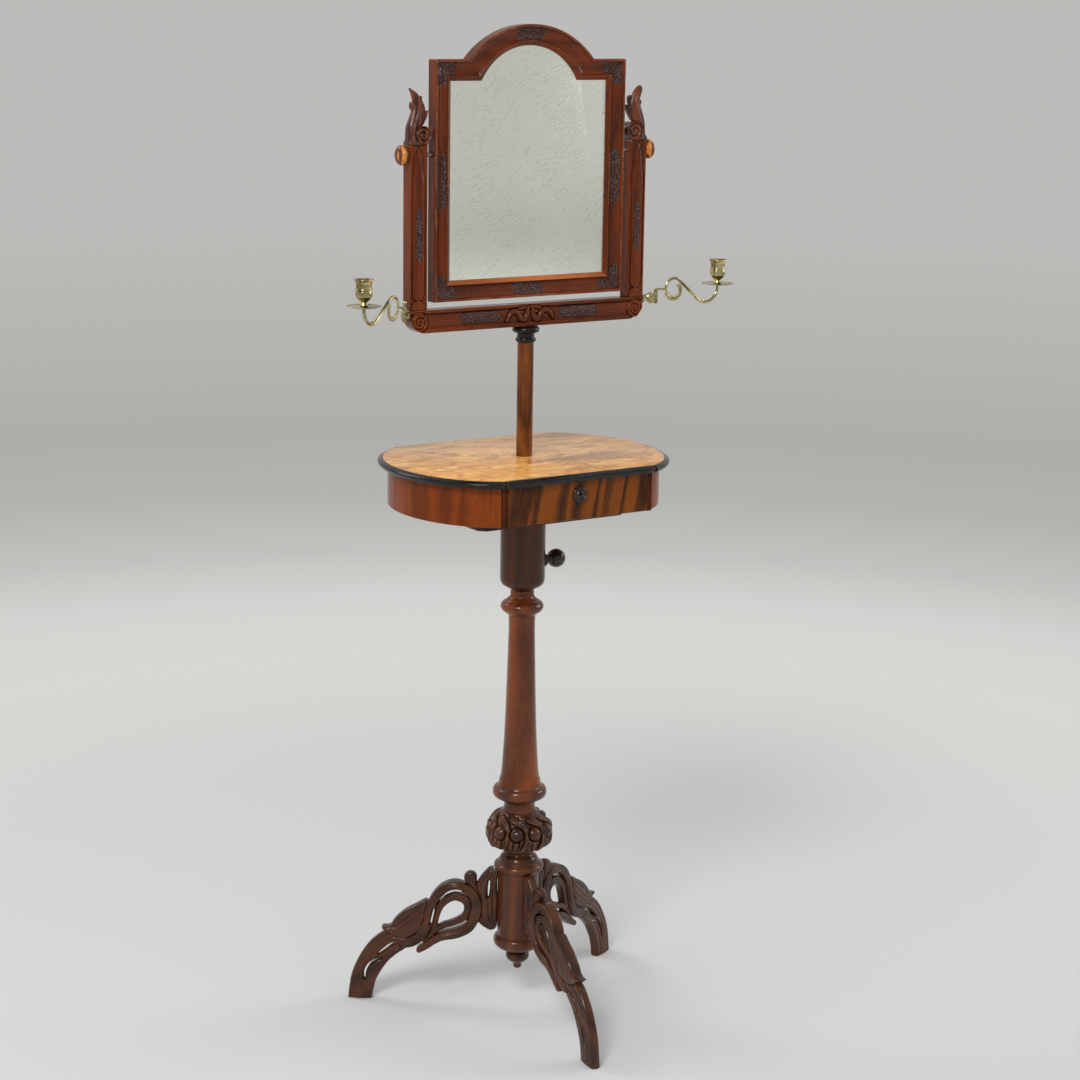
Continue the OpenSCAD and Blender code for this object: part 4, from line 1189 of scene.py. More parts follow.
class Look(Enum):
    """The finishes of this mirror."""

    # The near-black colour of the hollows in these finishes is soiling together with painted shade.
    CARVED = PolishedWood(
        "carved_walnut", light=srgb(100, 53, 25), dark=srgb(36, 17, 9), worn=srgb(190, 138, 84),
        grime_and_shade=srgb(4, 2, 1), wear=1.0, dirt_and_shade=1.0, gloss=0.15, shine=0.3, coat=0.22, relief=0.0003,
        figure=0.3, patchy=0.5)
    TURNED = PolishedWood(
        "turned_walnut", light=srgb(144, 72, 26), dark=srgb(76, 34, 10), worn=srgb(166, 96, 44),
        grime_and_shade=srgb(26, 11, 4), wear=0.4, gloss=0.15, figure=0.4, rings=34.0, ring_scale=10.0, shine=0.34)
    HUB = PolishedWood(
        "hub_walnut", light=srgb(120, 64, 32), dark=srgb(66, 33, 15), worn=srgb(160, 98, 54),
        grime_and_shade=srgb(18, 8, 4), wear=0.5, dirt_and_shade=0.9, gloss=0.15, figure=0.35, rings=34.0, ring_scale=10.0,
        shine=0.34)
    BARREL = PolishedWood(
        "barrel_walnut", light=srgb(98, 48, 20), dark=srgb(50, 22, 8), worn=srgb(140, 84, 46),
        grime_and_shade=srgb(16, 7, 4), wear=0.4, gloss=0.16, figure=0.4, rings=34.0, ring_scale=10.0, shine=0.3)
    POLE = PolishedWood(
        "pole_walnut", light=srgb(154, 86, 32), dark=srgb(48, 22, 8), figure=0.3, wear=0.5, shine=0.18,
        gloss=0.3, ring_scale=14.0, open_pores=0.9)
    POST = PolishedWood(
        "frame_walnut", light=srgb(128, 54, 12), dark=srgb(38, 13, 4), worn=srgb(196, 132, 84),
        grime_and_shade=srgb(8, 3, 2), wear=0.85, dirt_and_shade=1.0, gloss=0.17, figure=0.22, patchy=0.34, rings=38.0,
        ring_scale=12.0, warp=0.012, shine=0.24, coat=0.05, punched=True)
    CREST = PolishedWood(
        "crest_walnut", light=srgb(128, 62, 34), dark=srgb(62, 27, 16), worn=srgb(190, 130, 90),
        grime_and_shade=srgb(24, 10, 8), wear=0.7, dirt_and_shade=0.9, gloss=0.26, shine=0.35)
    # A lighter copy of the frame wood: the painted highlight of the bottom rail's sight edge, which faces up
    # to the light.
    SIGHT_HIGHLIGHT = PolishedWood(
        "sight_edge_highlight", light=srgb(196, 112, 56), dark=srgb(140, 74, 34), worn=srgb(206, 144, 96),
        grime_and_shade=srgb(16, 5, 3), wear=0.5, dirt_and_shade=0.9, gloss=0.26)
    APRON = PolishedWood(
        "apron_veneer", light=srgb(150, 68, 14), dark=srgb(84, 34, 6), worn=srgb(178, 108, 52),
        grime_and_shade=srgb(34, 14, 5), figure=0.26, rings=26.0, ring_scale=20.0, wear=0.25, gloss=0.18, shine=0.18)
    BEAD = PolishedWood(
        "bead_walnut", light=srgb(96, 44, 14), dark=srgb(52, 22, 7), worn=srgb(130, 72, 34),
        grime_and_shade=srgb(20, 8, 4), wear=0.0, gloss=0.5, shine=0.12, coat=0.0)
    GUIDE = PolishedWood(
        "guide_walnut", Along.Y, light=srgb(78, 40, 18), dark=srgb(46, 21, 9), wear=0.0, dirt_and_shade=0.2,
        gloss=0.5, coat=0.0, shine=0.12)
    DRAWER = PolishedWood(
        "drawer_front_veneer", light=srgb(146, 76, 16), dark=srgb(44, 20, 6), grime_and_shade=srgb(24, 10, 4),
        figure=0.45, patchy=0.4, rings=30.0, ring_scale=20.0, lean=-11.0, warp=0.06, gloss=0.18,
        shine=0.18, open_pores=0.4, wear=0.2)
    BEARER = PolishedWood(
        "bearer_walnut", Along.X, light=srgb(74, 42, 30), dark=srgb(40, 22, 17), wear=0.0, dirt_and_shade=0.2,
        gloss=0.4)
    EBONY = PolishedWood(
        "ebonised_wood", light=srgb(26, 24, 25), dark=srgb(13, 12, 13), worn=srgb(98, 66, 48),
        grime_and_shade=srgb(6, 5, 6), wear=0.4, figure=0.2, gloss=0.11, shine=0.3, coat=0.05)
    DARK = PolishedWood(
        "dark_stained_wood", light=srgb(66, 40, 30), dark=srgb(28, 16, 13), worn=srgb(120, 78, 52),
        grime_and_shade=srgb(10, 6, 5), wear=0.3, gloss=0.2, shine=0.5)
    KNOB = PolishedWood(
        "knob_wood", light=srgb(214, 134, 56), dark=srgb(92, 44, 14), figure=1.1, rings=40.0,
        ring_scale=34.0, gloss=0.24, wear=0.2, dirt_and_shade=0.5, shine=0.35)
    PINE_X = pine("pine_across", Along.X)
    PINE_Y = pine("pine_deep", Along.Y)
    PINE_Z = pine("pine_upright", Along.Z, srgb(190, 146, 96), srgb(158, 110, 66))
    BURL = BurlVeneer("table_burl")
    BRASS = Metal("old_brass")
    BRASS_CAD = Metal("hidden_brass", Along.Z)
    IRON = Metal("lock_iron", Along.Z, bright=srgb(176, 170, 160), dull=srgb(128, 122, 114),
                 dark=srgb(56, 48, 42), gloss=0.42)
    MIRROR = OldMirror("old_mirror")

    def material(self) -> bpy.types.Material:
        """Builds the finish's material once.

        Returns:
            The material.
        """
        if self.name not in MADE:
            MADE[self.name] = self.value.material()
        return MADE[self.name]


def span(node: str) -> tuple[np.ndarray, np.ndarray]:
    """Lowest and highest corner of a CAD node, in millimetres."""
    low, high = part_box(node)
    return np.array(low) / MM, np.array(high) / MM


def heights(node: str) -> tuple[float, float]:
    """Lowest and highest place of a CAD node, in millimetres."""
    low, high = span(node)
    return low[2], high[2]


def dress(nodes: dict[str, Look], frame: dict[str, object]) -> None:
    """Gives finishes to CAD nodes that stay.

    Args:
        nodes: Finish of each node.
        frame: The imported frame.
    """
    for name, look in nodes.items():
        data = frame["nodes"][name].data
        data.materials.clear()
        data.materials.append(look.material())
        log.info("%s keeps its own shape, in %s", name, look.value.name)


# The mirror's sub-assemblies


@dataclass
class Tripod:
    """Hub, drop finial and three carved legs."""

    directions: tuple[float, ...] = (-96, 144, 24)
    names: tuple[str, ...] = ("leg_front", "leg_left", "leg_back")
    half: float = 10.0
    pitch: float = 1.15
    window: tuple[Point, Point] = ((32, -2), (300, 256))
    tongue: float = 33.5
    grain_lean: Point = (0.57, 0.82)
    grain_step: float = 700.0
    hub_radius: float = 36.0
    dome: float = 18.3
    ring: Station = (44.0, 244.5, 275.5)
    shank: tuple[Station, ...] = (
        (276, -8, 21.5), (276, 4, 21.5), (270, 38, 22.5), (259, 63, 23.5), (244, 86, 24),
        (227, 102, 24), (207, 114, 22), (186, 125, 17))
    leaf: tuple[Station, ...] = (
        (161, 180, 7), (170, 163, 17), (184, 148, 23), (199, 137, 21), (212, 131, 13), (225, 130, 7),
        (236, 133, 2.5))
    strap: tuple[Station, ...] = (
        (198, 104, 7), (184, 109, 9), (168, 122, 9), (157, 145, 8.5), (153, 168, 8), (145, 191, 8.5),
        (131, 207, 9), (113, 215, 9), (96, 212, 9), (80, 202, 9), (72, 182, 9), (75, 159, 9.5),
        (86, 139, 9.5), (107, 127, 9), (131, 121, 8), (147, 112, 7), (159, 103, 6.7), (172, 94, 5.5))
    inner: tuple[Station, ...] = (
        (159, 109, 7.5), (149, 132, 7), (143, 157, 7), (135, 177, 7), (120, 191, 7.5), (106, 194, 7.5),
        (91, 187, 7.5), (87, 172, 7.5), (94, 157, 7), (112, 146, 6), (132, 139, 5.5), (147, 127, 5))
    plate: tuple[Station, ...] = (
        (46, 240, 11), (54, 219, 17.5), (56, 190, 21), (55, 164, 20), (47, 146, 11))
    bud: tuple[Station, ...] = ((74, 205, 6), (79, 218, 7.5), (83, 230, 12))
    slits: tuple[tuple[Station, ...], ...] = (
        ((125, 199, 1.0), (117, 204, 1.5), (106, 206, 1.4), (95, 205, 0.7)),
        ((146, 170, 0.8), (149, 157, 1.2), (152, 142, 1.1)),
        ((50, 226, 0.8), (51, 213, 1.5), (52, 196, 0.7)),
        ((244, 84, 1.0), (233, 93, 1.8), (222, 102, 1.5), (211, 107, 0.7)),
        ((268, 37, 1.0), (267, 51, 1.6), (260, 64, 1.5), (249, 72, 1.2), (239, 76, 0.7)))

    def carving(self) -> Relief:
        """Lays out one leg.

        Returns:
            The flat carving, as distance from the column and height.
        """
        relief = Relief(*self.window, self.pitch)
        half = self.half
        straps = (
            Strap(self.plate, half - 0.5, 1.5, 4, 0, lines=(-0.6, -0.25, 0.5), line_depth=1.8),
            Strap(self.shank, half, 2.5, 5, 1.6, lines=(-0.62, -0.3, 0.1, 0.5), line_depth=1.5),
            Strap(self.bud, half - 0.5, 2.5, 5, 1.2, lines=(-0.2, 0.35), line_depth=1.2),
            Strap(self.inner, half - 1.2, 1.4, 2.6, 2.4, lines=(-0.45, 0.3), line_depth=1.4),
            Strap(self.leaf, half + 2.4, 2.6, 5, 2.6, lines=(-0.62, -0.3, 0.08, 0.5), line_depth=1.7,
                  veins=0.12),
            Strap(self.strap, half + 2, 1.8, 3.0, 2.6, lines=(-0.55, -0.15, 0.4), line_depth=1.5))
        for strap in straps:
            relief.lay(strap)
        for slit in self.slits:
            relief.pierce(slit)
        relief.outline = np.maximum(relief.outline, np.maximum(-relief.z, self.tongue - relief.x))
        return relief

    def build(self) -> None:
        """Builds and dresses the legs, the hub and the finial."""
        shape = self.carving().solid(2.2, relax=1, cut=self.clear_of_ring)
        x, y, z = shape.points.T
        sine, cosine = self.grain_lean
        shape.grain = np.stack([sine * x + cosine * z, y, cosine * x - sine * z], 1)
        for n, (name, direction) in enumerate(zip(self.names, self.directions)):
            leg = shape.placed(Matrix.Rotation(math.radians(direction), 4, "Z"))
            leg.grain = leg.grain + self.grain_step * n
            leg.piece("carved_" + name, "stand", Slot.CARVED, [Look.CARVED], [name], crease=60)
        low, high = heights("hub")
        lathe(eased(self.hub(low, high), 0.7)).painted(lambda at: at[:, 2].mean() > high - self.dome).piece(
            "turned_hub", "stand", Slot.TURNED, [Look.HUB, Look.BARREL], ["hub"])
        lathe(eased(self.finial(heights("drop_finial")[0], low), 0.5), 96).piece(
            "turned_finial", "stand", Slot.CARVED, [Look.BARREL], ["drop_finial"])

    def hub(self, low: float, high: float) -> list[Point]:
        """Profile of the hub: two rings and a dome.

        Args:
            low, high: Its heights.

        Returns:
            The profile.
        """
        r = self.hub_radius
        return [(15, low), (27, low), (32, low + 1.5), (r, low + 4), *bead(r, low + 6, low + 25, 6.6),
                (r, low + 26.5), (r, high - 37), (r + 1.5, high - 34.5),
                *bead(r + 1.5, high - 33.5, high - 20.5, 5.6), (r + 1, high - 19.5), (34.4, high - 18.6),
                *flow([(33.8, high - 18), (33.6, high - 14), (31, high - 9), (26.6, high - 4.5),
                       (24.8, high - 0.1)])]

    def finial(self, tip: float, top: float) -> list[Point]:
        """Profile of the drop finial.

        Args:
            tip: Its lowest place.
            top: The hub's underside.

        Returns:
            The profile.
        """
        drop = flow([(6.8, tip + 3), (7.4, tip + 5.6), (7.8, tip + 8.4), (9.8, tip + 11.4), (14.4, tip + 15),
                     (18.6, tip + 19.5), (20.4, tip + 25), (19, tip + 30.5), (15.4, tip + 34)])
        return [(0.6, tip), (4.4, tip + 0.8), *drop, (13.6, top - 3.4), (15.2, top - 2.4), (15.2, top + 0.4)]

    def clear_of_ring(self, x: np.ndarray, y: np.ndarray, z: np.ndarray) -> np.ndarray:
        """Keeps a leg off the hub's upper ring.

        Args:
            x, y, z: Places.

        Returns:
            Distances that are positive where the ring is.
        """
        radius, low, high = self.ring
        return np.minimum(radius - np.hypot(x, y), np.minimum(z - low, high - z))


@dataclass
class Column:
    """Carved knop, turned shaft, barrel and thumb screw."""

    fruits: int = 10
    knop_core: tuple[Point, ...] = (
        (24.8, 0), (26, 2), (27, 6), (29, 9), (36, 11), (45, 14), (50, 19), (52, 27), (51.5, 38), (49.5, 47),
        (46, 56), (41.5, 63), (36, 69), (31.5, 72.5))
    sprays: tuple[Strap, ...] = (
        Strap(((-13, 71, 3), (-9, 67, 5), (0, 64, 5.5), (9, 59, 5.5), (15.5, 49, 4.8), (17, 35, 4.2),
               (13, 21, 3.8), (6, 12, 1.8)), 5.8, 1.6, 2.6, 2.6, lines=(-0.4, 0.25), line_depth=1.7),
        Strap(((-12, 12, 1.6), (-10.5, 22, 4.4), (-8, 34, 3.4)), 3.6, 1.8, 3, 2.2, lines=(-0.4, 0.1)),
        Strap(((-3, 11, 1.6), (-1.5, 21, 4.6), (0, 33, 3.4)), 3.8, 1.8, 3, 2.2, lines=(-0.2, 0.4)))
    pitch: float = 0.6
    bulb_radius: float = 50.0
    carved_height: float = 74.0
    ground: float = 0.5
    fruit_radius: float = 13.0
    fruit_height: float = 44.0
    fruit_rise: float = 8.6
    fruit_fade: Station = (8.0, 6.0, 8.0)
    barrel_radius: float = 38.0
    barrel_edge: Point = (8.5, 13.0)
    thumb_radius: float = 16.0
    bush_end: float = 45.0
    foot: float = 45.5

    def knop(self, base: float, height: float) -> Shape:
        """Carves fruits in their leaves round the bulb.

        Args:
            base: Height of its foot.
            height: Its own height.

        Returns:
            The shape.
        """
        sector = 2 * math.pi * self.bulb_radius / self.fruits
        relief = Relief((-sector / 2, 0), (sector / 2, self.carved_height), self.pitch)
        relief.height += self.ground
        shifts = (-sector, 0, sector)
        for shift in shifts:
            for spray in self.sprays:
                relief.lay(spray.moved(shift))
        for shift in shifts:
            relief.boss((shift, self.fruit_height), self.fruit_radius, self.fruit_rise)
        turns, rows = 60 * self.fruits, 96
        low, rise, fall = self.fruit_fade
        core = smooth_line(self.knop_core, 4)
        run = np.concatenate([[0], np.cumsum(np.hypot(*np.diff(core, axis=0).T))])
        share = np.linspace(0, run[-1], rows)
        core = np.column_stack([np.interp(share, run, core[:, 0]), np.interp(share, run, core[:, 1])])
        slope = np.gradient(core, axis=0)
        slope /= np.linalg.norm(slope, axis=1, keepdims=True)
        columns, last = relief.height.shape[0], relief.height.shape[1] - 1
        angle = np.arange(turns) * 2 * math.pi / turns
        place = np.mod(angle * self.fruits / (2 * math.pi), 1) * (columns - 1)
        rings = []
        for (r, z), (dr, dz) in zip(core, slope):
            fade = min(1, (z - low) / rise, (self.carved_height - 1 - z) / fall)
            row = relief.height[:, min(int(round(z / relief.step)), last)]
            lift = np.interp(place, np.arange(columns), row) * max(fade, 0)
            rings.append(np.column_stack([(r + lift * dz) * np.cos(angle), (r + lift * dz) * np.sin(angle),
                                          base + z - lift * dr * 0.6]))
        top = eased([(26, height - 10), *bead(29, height - 9, height, 4), (27, height + 0.02)], 0.4)
        return loft(np.array(rings)).grown(lathe([(r, base + z) for r, z in top]))

    def shaft(self, z: float, t: float) -> list[Point]:
        """Profile of the shaft: a ring on a foot, a long taper, a ring and a neck.

        Args:
            z, t: Heights of its foot and its top.

        Returns:
            The profile.
        """
        length = t - z
        taper = flow([(34.5, z + 58), (32, z + 70), (29, z + 0.287 * length), (26.4, z + 0.436 * length),
                      (24.4, z + 0.615 * length), (22.8, z + 0.77 * length), (22.3, t - 62),
                      (22.8, t - 43)], 6)
        ring = flow([(28.5, t - 38), (33.5, t - 35), (36.5, t - 28), (33.5, t - 21), (28, t - 18)], 6)
        return [(20, z - 1), (28.9, z - 0.5), *cove((28.9, z + 1), (30, z + 21), 3), (36, z + 23),
                *bead(39, z + 24, z + 44, 7.5, 16), *cove((38, z + 46), (35, z + 57), 0.6, 5),
                *taper, (26.5, t - 40.5), (27.9, t - 39), *ring,
                *cove((27, t - 16.5), (20, t - 8), 1.5), (20, t)]

    def build(self) -> None:
        """Builds and dresses the column."""
        low, high = heights("carved_knop")
        self.knop(low, high - low).piece("fruit_knop", "stand", Slot.CARVED, [Look.CARVED], ["carved_knop"],
                                         crease=60)
        t = heights("column_shaft")[1]
        lathe(eased(self.shaft(high, t), 0.6)).painted(lambda at: at[:, 2].mean() < high + self.foot).piece(
            "turned_shaft", "stand", Slot.TURNED, [Look.TURNED, Look.HUB], ["column_shaft"])
        top = heights("bearer_board")[0]
        radius, (across, rise) = self.barrel_radius, self.barrel_edge
        foot = [(radius - across * (1 - math.sin(a)), t + 8 + rise - rise * math.cos(a))
                for a in np.linspace(0, QUARTER, 10)]
        barrel = [(14, t), (20, t), *cove((20, t + 0.5), (radius - across, t + 7), 1.5), *foot, (radius, top)]
        lathe(eased(barrel, 0.5)).piece("turned_barrel", "stand", Slot.TURNED, [Look.BARREL],
                                        ["column_barrel"])
        self.thumb_screw()

    def thumb_screw(self) -> None:
        """Builds the clamp screw on the right of the barrel, and its bush."""
        low, high = span("thumb_screw")
        turn = sideways(1, 0, 0, (low[2] + high[2]) / 2)
        reach, r = high[0] - self.thumb_radius, self.thumb_radius
        end = self.bush_end
        screw = [(4.9, low[0] + 0.1), (4.9, end - 0.1), (8.9, end), (9, end + 1.6),
                 *cove((8.6, end + 2), (9, reach - 11.6), 1.8), *arc((0, reach), r, -46, 79, 20),
                 (2.2, reach + r - 0.3), (0.4, reach + r - 0.1)]
        lathe(eased(screw, 0.4), 72).placed(turn).piece("thumb_screw_ball", "thumb_screw", Slot.EBONY,
                                                        [Look.DARK], ["thumb_screw"])
        bush = [(7, 35.2), (12.4, 35.2), (12.5, 39.8), *bead(9.5, 40, 43.9, 3, 8), (8, 44.4), (5.2, 44.3)]
        lathe(eased(bush, 0.3), 72).placed(turn).piece("thumb_screw_bush", "stand", Slot.EBONY, [Look.DARK],
                                                       ["thumb_bush"])


@dataclass
class Table:
    """Panel with its edge moulding, aprons, corner beads and the bearer board."""

    straight: float = 144.0
    half_depth: float = 170.0
    swell: float = 93.0
    edge: float = 9.0
    setback: float = 8.0
    apron: float = 12.0
    bead_width: float = 8.5
    bearer_half: Point = (143.0, 98.0)
    chamfer: float = 12.5
    bulge: float = 1.07
    nick: float = 0.72
    facets: int = 72
    border: float = 1.2

    @property
    def corner(self) -> float:
        """Parameter of the ellipse at the corner of the table, in radians."""
        return math.asin(1 / self.bulge)

    @property
    def ellipse(self) -> Point:
        """Middle and half length of the ellipse that a curved end follows."""
        length = self.swell / (1 - math.cos(self.corner))
        return self.straight - length * math.cos(self.corner), length

    def end_point(self, angle: float, grow: float) -> Point:
        """Point on the curved end of the right side.

        Args:
            angle: Parameter of the ellipse in radians.
            grow: Distance outside the panel's edge.

        Returns:
            The point.
        """
        centre, length = self.ellipse
        depth = self.half_depth * self.bulge
        return centre + (length + grow) * math.cos(angle), (depth + grow) * math.sin(angle)

    def end_line(self, grow: float, side: int, last: float | None = None) -> list[Point]:
        """A curved end from front to back.

        Args:
            grow: Distance outside the panel's edge.
            side: -1 for the left end, 1 for the right end.
            last: Parameter of the ellipse at which it ends, or None for the corner.

        Returns:
            The points.
        """
        last = last or self.corner
        line = [self.end_point(a, grow) for a in np.linspace(-last, last, self.facets + 1)]
        return [(side * x, y) for x, y in line]

    def behind_straight(self, grow: float, side: int) -> list[Point]:
        """A curved end that stops where the straight part begins.

        Args:
            grow: Distance outside the panel's edge.
            side: -1 for the left end, 1 for the right end.

        Returns:
            The points.
        """
        centre, length = self.ellipse
        return self.end_line(grow, side, math.acos((self.straight - centre) / (length + grow)))

    def moulding(self, low: float, high: float) -> list[Point]:
        """Section of the edge moulding: distance outwards and height.

        Args:
            low, high: Heights of the panel's faces.

        Returns:
            The section, counterclockwise.
        """
        w = self.edge
        points = [(-0.2, low), (w - 3.6, low), (w - 2.6, low + 1.7), (w - 1.3, low + 2.1),
                  *arc((w - 3.2, low + 6), 3.2, -50, 75, 10), (w - 5.4, high - 1.0), (1.5, high - 0.4),
                  (-0.2, high - 0.35)]
        return [tuple(p) for p in eased(points, 0.4)]

    def build(self, frame: dict[str, object]) -> None:
        """Builds and dresses the table.

        Args:
            frame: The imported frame.
        """
        low, high = heights("table_panel")
        panel = slab(self.end_line(0, 1) + self.end_line(0, -1)[::-1], low, high, 0.5)
        panel.piece("burl_top", "stand", Slot.BURL, [Look.BURL], ["table_panel"], Along.X)
        section = self.moulding(low, high)
        for side, name in ((-1, "left"), (1, "right")):
            rings = [[(side * x, y, z) for x, y, z in [(*self.end_point(a, d), z) for d, z in section]]
                     for a in np.linspace(-self.corner, self.corner, self.facets + 1)]
            loft(np.array(rings)).piece("edge_" + name, "stand", Slot.EBONY, [Look.EBONY],
                                        ["moulding_" + name], Along.Y)
        for side, name in ((-1, "front"), (1, "back")):
            rings = []
            for x in np.linspace(-self.straight, self.straight, 25):
                nick = 1 if abs(x) < self.straight - 1 else self.nick
                rings.append([(x, side * (self.half_depth + d * (nick if d > 0 else 1)), z)
                              for d, z in section])
            loft(np.array(rings)).piece("edge_" + name, "stand", Slot.EBONY, [Look.EBONY],
                                        ["moulding_" + name], Along.X)
        self.aprons(heights("apron_back")[0], low)
        x, y = self.bearer_half
        slab(chamfered((-x, -y), (x, y), self.chamfer), *heights("bearer_board"), 1.2).piece(
            "bearer", "stand", Slot.CARVED, [Look.BEARER], ["bearer_board"], Along.X)
        dress({"bearer_screws": Look.IRON, "guide_left": Look.GUIDE, "guide_right": Look.GUIDE,
               "stop_board": Look.PINE_X, "drawer_runners": Look.PINE_Y}, frame)

    def aprons(self, low: float, high: float) -> None:
        """Builds the end aprons, the back apron and the corner beads.

        Args:
            low, high: Their heights.
        """
        depth, top, border = self.half_depth - 2, high - 0.02, self.border
        for side, name in ((-1, "left"), (1, "right")):
            ring = self.behind_straight(-self.setback, side) \
                + self.behind_straight(-self.setback - self.apron, side)[::-1]
            board = slab(ring[::side], low, top, 0.15, border)
            x, y, z = board.points.T
            round_end = np.arctan2(y, side * x) * 200
            board.grain = np.column_stack([round_end, np.zeros(len(x)), z])
            board.piece("apron_" + name + "_board", "stand", Slot.VENEER, [Look.APRON], ["apron_" + name])
        plan = box_outline((-self.straight, depth - self.apron), (self.straight, depth))
        slab(plan, low, top, 0.5, border).piece("apron_back_board", "stand", Slot.VENEER, [Look.APRON],
                                                ["apron_back"])
        strips = []
        width = self.bead_width
        for side in (-1, 1):
            middle = side * (self.straight - width / 2)
            plan = [(middle + width / 2 - 0.1, -depth + 3.9), (middle - width / 2 + 0.1, -depth + 3.9)]
            for n in (-1, 1):
                plan += arc((middle + n * width / 4, -depth + 2.2), width / 4 - 0.12, 180, 360, 12)
            strips.append(slab(plan, low, top, 0.3))
        joined(strips).piece("corner_bead_strips", "stand", Slot.VENEER, [Look.BEAD], ["corner_beads"])


@dataclass
class Drawer:
    """Drawer front with its turned escutcheon, and the box behind it."""

    rose: tuple[Point, ...] = (
        (13.5, 0.02), (13.5, 1.2), (13.0, 2.6), (12.0, 4.0), (10.8, 4.4), (9.6, 3.0), (8.4, 2.1), (7.0, 2.5),
        (6.0, 3.8), (4.8, 4.4), (3.8, 3.6), (3.2, 1.4), (2.8, 0.35), (0.4, 0.3))
    painted_hole_radius: float = 3.4
    recess: float = 3.2

    def build(self, frame: dict[str, object]) -> None:
        """Builds and dresses the drawer.

        Args:
            frame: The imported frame.
        """
        low, high = span("drawer_front")
        plan = box_outline((low[0], -high[2]), (high[0], -low[2]))
        upright = Matrix(((1, 0, 0, 0), (0, 0, 1, 0), (0, -1, 0, 0), (0, 0, 0, 1)))
        front = slab(plan, low[1], high[1] - self.recess, 0.8, 1.2).placed(upright)
        front.grain = None
        front.piece("drawer_face", "drawer", Slot.VENEER, [Look.DRAWER], ["drawer_front"])
        middle = sum(span("escutcheon")) / 2
        place = Matrix.Translation((middle[0], low[1], middle[2])) @ Matrix.Rotation(QUARTER, 4, "X")
        turned = lathe(eased(self.rose, 0.3), 96)
        # The middle of the rose takes the near-black look as painted shade, standing in for a hole.
        turned.painted(lambda at: math.hypot(*at[:, :2].mean(axis=0)) < self.painted_hole_radius)
        turned.placed(place).piece("turned_escutcheon", "drawer", Slot.EBONY, [Look.DARK, Look.EBONY],
                                   ["escutcheon"])
        dress({"drawer_side_left": Look.PINE_Y, "drawer_side_right": Look.PINE_Y, "drawer_back": Look.PINE_X,
               "drawer_bottom": Look.PINE_X, "lock_case": Look.IRON}, frame)


@dataclass
class Pole:
    """Sliding pole with its black collar."""

    radius: float = 13.4
    pin_radius: float = 8.0

    def build(self) -> None:
        """Builds and dresses the pole and the collar."""
        low, high = heights("pole")
        foot, top = heights("collar")
        r, pin = self.radius, self.pin_radius
        rows = [(r - 2, low), (r, low + 2), *[(r, z) for z in np.linspace(low + 10, foot, 30)],
                (pin, foot), (pin, high - 1), (pin - 1, high)]
        lathe(eased(rows, 0.4)).piece("sliding_pole", "pole", Slot.RED, [Look.POLE], ["pole"])
        ring = [(8.2, foot), (r + 1.4, foot), *bead(r + 1.8, foot + 0.5, foot + 7, 1.8),
                (r + 1.2, foot + 7.6), *cove((r + 1.2, foot + 8), (r + 2, foot + 15), 0.8),
                *bead(17.5, foot + 15.5, top - 1, 5.1, 14), (19, top - 0.4), (18.6, top), (8.2, top)]
        lathe(eased(ring, 0.3)).piece("turned_collar", "pole", Slot.EBONY, [Look.EBONY], ["collar"])


